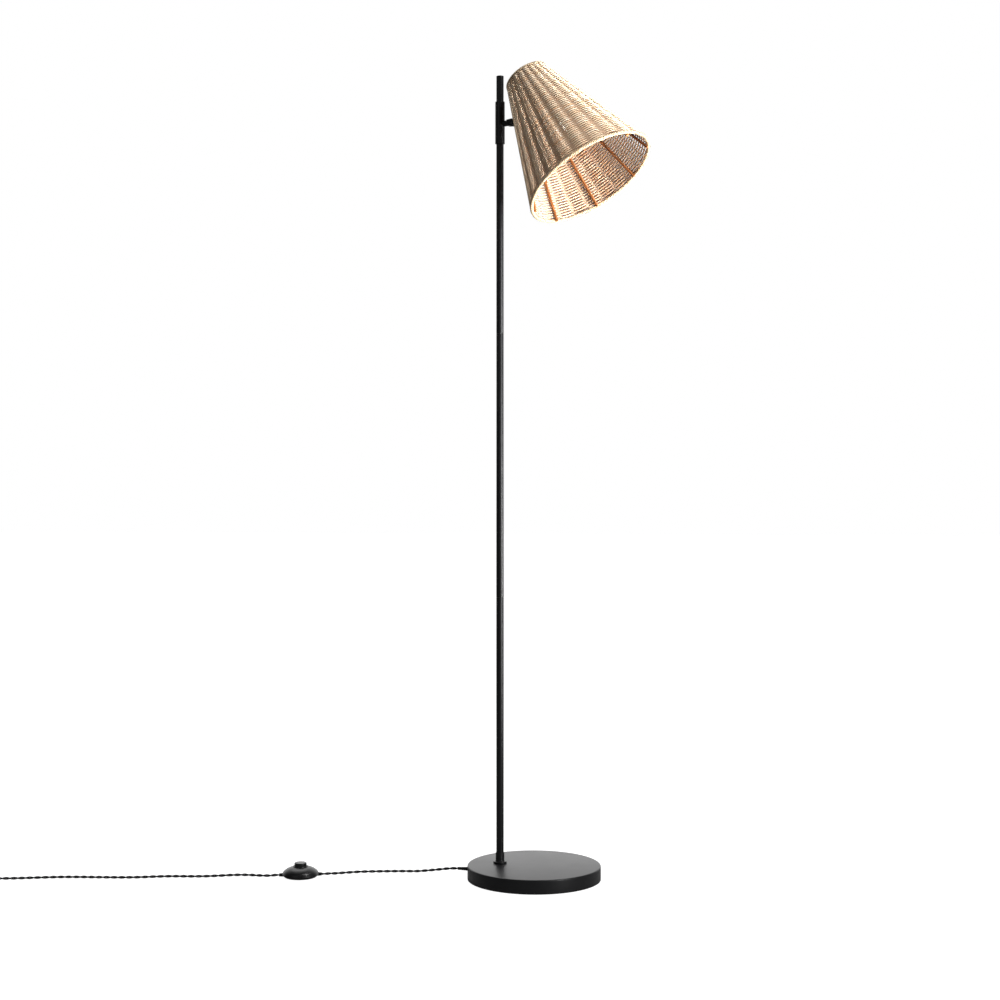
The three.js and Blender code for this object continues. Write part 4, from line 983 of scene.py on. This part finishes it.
def makePlug():
    sizes = {
        "tail": 20, "length": 36, "width": 26, "thickness": 13.4, "axis": 6.7, "sides": 40, "tailRibs": 7,
        "ribPitch": 2.9, "ribRadius": 2.9, "ribGrowth": 1.7, "ribDepth": 0.5, "pin": 2.0, "pinLength": 19,
        "spacing": 19, "pinGap": 0.3,
    }
    sections = [  # place along the body, width, height and squareness
        (0, 0.36, 0.7, 2.2), (0.02, 0.44, 0.88, 2.8), (0.08, 0.54, 0.98, 3.6), (0.25, 0.76, 1, 4.5),
        (0.5, 0.95, 1, 5), (0.7, 1, 1, 5.5), (0.93, 1, 1, 5.5), (0.985, 0.975, 0.95, 5.5), (1, 0.93, 0.88, 5.5),
    ]

    def ring(x, width, height, power=2):
        points = []
        for k in range(sizes["sides"]):
            turn = -tau * (k + 0.5) / sizes["sides"]
            c, s = cos(turn), sin(turn)
            points.append(Vector((x, copysign(abs(c) ** (2 / power), c) * width / 2,
                                  sizes["axis"] + copysign(abs(s) ** (2 / power), s) * height / 2)) * mm)
        return points

    rings = []
    depth = sizes["ribDepth"]
    for i in range(sizes["tailRibs"]):
        x, across = sizes["ribPitch"] * i, 2 * (sizes["ribRadius"] + sizes["ribGrowth"] * i / sizes["tailRibs"])
        if i:
            rings += [ring(x - 0.9, across - 2 * depth, across - 2 * depth), ring(x - depth, across, across)]
        rings += [ring(x, across, across), ring(x + depth, across, across)]
    for share, width, height, power in sections:
        rings.append(ring(sizes["tail"] + share * sizes["length"], width * sizes["width"],
                          height * sizes["thickness"], power))
    pieces = [finishPiece("plugBody", ringMesh("plugBody", rings, plugMatrix, capped=True), blackPlastic)]
    start, pin = sizes["tail"] + sizes["length"] + sizes["pinGap"], sizes["pin"]
    end = start + sizes["pinLength"]
    for name, side in (("plugPinLeft", -1), ("plugPinRight", 1)):
        matrix = plugMatrix @ shifted(0, side * sizes["spacing"] / 2, sizes["axis"]) @ toX
        corners = [(0, start), (pin, start), (pin, end, 1.0), (0, end)]
        pieces.append(turnedPiece(name, corners, brass, 40, matrix))
    return pieces


def makeTie():  # a flat band round one side of the coil
    sizes = {
        "inner": 18.5, "outer": 39.87, "bottom": 1.0, "top": 12.9, "thickness": 0.9, "width": 4, "corner": 1.6,
        "turn": 285,
    }
    outlines = []
    for more in (0.0, sizes["thickness"]):
        corner = sizes["corner"] + more
        left, far = sizes["inner"] - more + corner, sizes["outer"] + more - corner
        foot, top = sizes["bottom"] - more + corner, sizes["top"] + more - corner
        centres = [(far, top), (left, top), (left, foot), (far, foot)]
        outlines.append([point for i, centre in enumerate(centres)
                         for point in arc(*centre, corner, 90 * i, 90 * i + 90, 6)])
    half = sizes["width"] / 2
    rings = [[(x * mm, y * mm, z * mm) for x, z in outlines[k]]
             for k, y in ((0, -half), (1, -half), (1, half), (0, half))]
    matrix = shifted(*coil["centre"], 0) @ spun(sizes["turn"])
    return finishPiece("cordTie", ringMesh("cordTie", rings, matrix, closed=True), blackPlastic)


makeBase()
makePole()
makeSwivel()
makeTongue()
makeLampholder()
makeFitter()
makeBulb()
switchPieces = makeFootSwitch()
relief = makeRelief()
plugPieces = makePlug()
tie = makeTie()
print("solid pieces ready")


# The woven shade, in its own frame: the narrow end is at height 0 and the opening below it

shade = {"topRadius": 40.0, "bottomRadius": 122.2, "topDrop": 3.4, "span": 240.2, "startAngle": 26.0}
slant = hypot(shade["bottomRadius"] - shade["topRadius"], shade["span"])
slantSine = (shade["bottomRadius"] - shade["topRadius"]) / slant
slantCosine = shade["span"] / slant


def besideWall(down, out, angle):  # a point so far down the wall's slant, and so far out from it
    radius = down * slantSine + out * slantCosine + shade["topRadius"] * mm
    height = out * slantSine - down * slantCosine - shade["topDrop"] * mm
    return vector(radius * angle.cos(), radius * angle.sin(), height)


# Rows of cane pass outside one stake and inside the next; the two weavers do the opposite of each other
def weaverTree(sizes):
    shape = {"easedEnds": (0.004, 0.03), "driftScale": 1.3, "ownScale": 4.0, "rowSpread": 30.0, "fullness": 0.2}
    tree, size = startTree("coneWeaver", sizes)
    rows = repeated(store(circle(tree, size["Points"]), "turn", alongCurve(tree)), size["Rows"], "row")
    row, turn = named(tree, "row"), named(tree, "turn")
    angle = turn * tau + radians(shade["startAngle"])
    label = row * 2 + size["Side"]
    straight = row * size["Row Step"] + size["First Row"]
    x, y = angle.cos(), angle.sin()
    drift = wander(vector(x, y, straight * shape["rowSpread"]), shape["driftScale"], 0.0)
    own = wander(vector(x, y, 0.0), shape["ownScale"], label * 3.7)
    inside = straight.between(*shape["easedEnds"]) * (slant * mm - straight).between(*shape["easedEnds"])
    down = straight + inside * (drift * 1.5 + own * 0.5) * size["Unevenness"]
    phase = (turn * (tau * size["Stakes"] * 0.5)).cos() * size["Side"]
    out = phase * size["Swing"] + own * size["Unevenness"] * 0.35

    # strands part round the stem's hole
    middle = (arm["topRise"] - shade["topDrop"]) / slantCosine * mm
    reach = shade["topRadius"] * mm + middle * slantSine
    across = (angle - pi).math("WRAP", pi, -pi) * reach
    along = down - middle
    near = across * across + along * along
    stretch = (near * near + size["Hole Radius"] ** 4.0) ** 0.25 / near ** 0.5
    place = besideWall(middle + along * stretch, out, across * stretch / reach + pi)

    fullness = phase * phase * shape["fullness"] + 1.0
    rows = store(rows, "phase", phase).into("SetPosition", {"Position": place})
    rows = rows.into("SetCurveNormal", mode="Z_UP").into("SetCurveTilt", {"Tilt": asin(slantSine)})
    rows = rows.into("SetCurveRadius", {"Radius": fullness})
    section = sectionCurve(8, size["Width"], size["Thickness"])
    endTree(swept(toned(rows, label, size["Seed"]), section, fullness), size["Material"])
    return tree


# Stakes and ribs: rods that run down the wall's slant
def rodsTree(sizes):
    tree, size = startTree("coneRods", sizes)
    line = add(tree, "GeometryNodeCurvePrimitiveLine", {"End": (0.0, 0.0, 1.0)})
    line = line.into("ResampleCurve", {"Count": size["Points"]})
    rods = repeated(store(line, "share", alongCurve(tree)), size["Count"], "rod")
    number, share = named(tree, "rod"), named(tree, "share")
    down = size["From"] + (size["To"] - size["From"]) * share
    bend = wander(vector(number * 3.1, share * 3.0, size["Seed"] * 5.3), 1.0, 0.5)
    angle = number * size["Step Angle"] + radians(shade["startAngle"])
    angle = angle + bend * size["Unevenness"] / (down * slantSine + shade["topRadius"] * mm)
    rods = rods.into("SetPosition", {"Position": besideWall(down, size["Out"], angle)})
    rods = rods.into("SetCurveNormal", mode="Z_UP")
    swell = wander(vector(number * 7.0, share * 26.0, size["Seed"] * 2.9), 1.0, 2.5) * 0.2 + 1.0
    rods = rods.into("SetCurveRadius", {"Radius": swell})
    section = sectionCurve(size["Sides"], size["Thickness"], size["Width"])
    endTree(swept(toned(rods, number, size["Seed"]), section, swell, True), size["Material"])
    return tree


# A flat strip of cane wound round a rim
def wrapTree(sizes):
    tree, size = startTree("wrappedRim", sizes)
    line = circle(tree, size["Turns"] * size["Points Per Turn"])
    line = store(line, "turn", alongCurve(tree))
    turn = named(tree, "turn")
    wrap = turn * size["Turns"]
    number = wrap.math("FLOOR")
    drift = wander(vector((turn * tau).cos(), (turn * tau).sin(), 0.0), 9.0, 1.5)
    rim = (turn * size["Loops"] + drift * size["Unevenness"] / size["Turns"]) * tau
    outward, upward = (wrap * tau).cos(), (wrap * tau).sin()
    lift = size["Wrap Radius"] * byIndex(0.985, 1.03, number, size["Seed"])
    radius = size["Rim Radius"] + lift * outward
    place = vector(radius * rim.cos(), radius * rim.sin(), size["Rim Height"] + lift * upward)
    normal = vector(outward * rim.cos(), outward * rim.sin(), upward)
    line = line.into("SetPosition", {"Position": place}).into("SetCurveNormal", {"Normal": normal}, mode="FREE")
    line = toned(line, number, size["Seed"], "POINT")
    section = sectionCurve(8, size["Width"], size["Thickness"])
    endTree(line.into("CurveToMesh", {"Profile Curve": section}), size["Material"])
    return tree


def makeShade():
    weave = {
        "Rows": 49, "First Row": 4.6 * mm, "Row Step": 5.0428 * mm, "Side": 1.0, "Points": 192,
        "Width": 2.84 * mm, "Thickness": 1.75 * mm, "Swing": 1.85 * mm, "Unevenness": 0.35 * mm,
        "Hole Radius": 6.6 * mm, "Stakes": 24, "Seed": 4, "Material": weaveCane,
    }
    weaver = weaverTree(weave)
    second = {**weave, "Side": -1.0, "First Row": weave["First Row"] + weave["Row Step"] / 2}
    for name, sizes in (("weaverOutside", weave), ("weaverInside", second)):
        grow(name, weaver, sizes, ["shade_weave"], shadeMatrix)

    stakes = {
        "Count": weave["Stakes"], "Step Angle": tau / weave["Stakes"], "Out": 0.0, "From": 1.5 * mm,
        "To": (slant - 1.5) * mm, "Width": 2.4 * mm, "Thickness": 1.5 * mm, "Points": 40, "Sides": 8,
        "Unevenness": 0.0, "Seed": 7, "Material": weaveCane,
    }
    rods = rodsTree(stakes)
    grow("thinStakes", rods, stakes, [], shadeMatrix)
    rib = {
        "Count": 1, "Step Angle": 0.0, "Out": -5.5 * mm, "From": 3.2 * mm, "To": (slant + 2.2) * mm,
        "Width": 5.0 * mm, "Thickness": 5.0 * mm, "Points": 90, "Sides": 14, "Unevenness": 0.8 * mm, "Seed": 20,
        "Material": ribCane,
    }
    for i in range(8):
        grow("thickRib" + str(i + 1), rods, {**rib, "Seed": rib["Seed"] + i}, ["shade_rib_" + str(i + 1)],
             shadeMatrix @ spun(45 * i), angle=50)

    hoopRadius = 2.45
    wrap = {
        "Rim Radius": 0.0, "Rim Height": 0.0, "Turns": 0, "Loops": 2, "Points Per Turn": 10,
        "Wrap Radius": 2.92 * mm, "Width": 2.85 * mm, "Thickness": 0.9 * mm, "Unevenness": 0.8, "Seed": 0,
        "Material": wrapCane,
    }
    wraps = wrapTree(wrap)
    for where, radius, drop, turns, seed in (
        ("Top", shade["topRadius"], shade["topDrop"], 77, 3),
        ("Bottom", shade["bottomRadius"], shade["topDrop"] + shade["span"], 233, 5),
    ):
        section = [(radius + r, h - drop) for r, h in arc(0, 0, hoopRadius, 0, 330, 11)]
        hoop = turnedMesh("hoop", section, 120, shadeMatrix, closed=True)
        node = "shade_" + where.lower()
        finishPiece("hoop" + where, hoop, ribCane, "head", [node + "_hoop"], None)
        sizes = {**wrap, "Rim Radius": radius * mm, "Rim Height": -drop * mm, "Turns": turns, "Seed": seed}
        grow("rimWrap" + where, wraps, sizes, [node + "_binding"], shadeMatrix)


makeShade()
print("shade ready")


# Pieces out of sight keep their CAD shape and get the finish of their slot
for part in frame["record"]["subparts"]:
    node = frame["nodes"][part["node"]]
    node.data.materials.clear()
    node.data.materials.append(slotMaterials[part["material_slot"]])
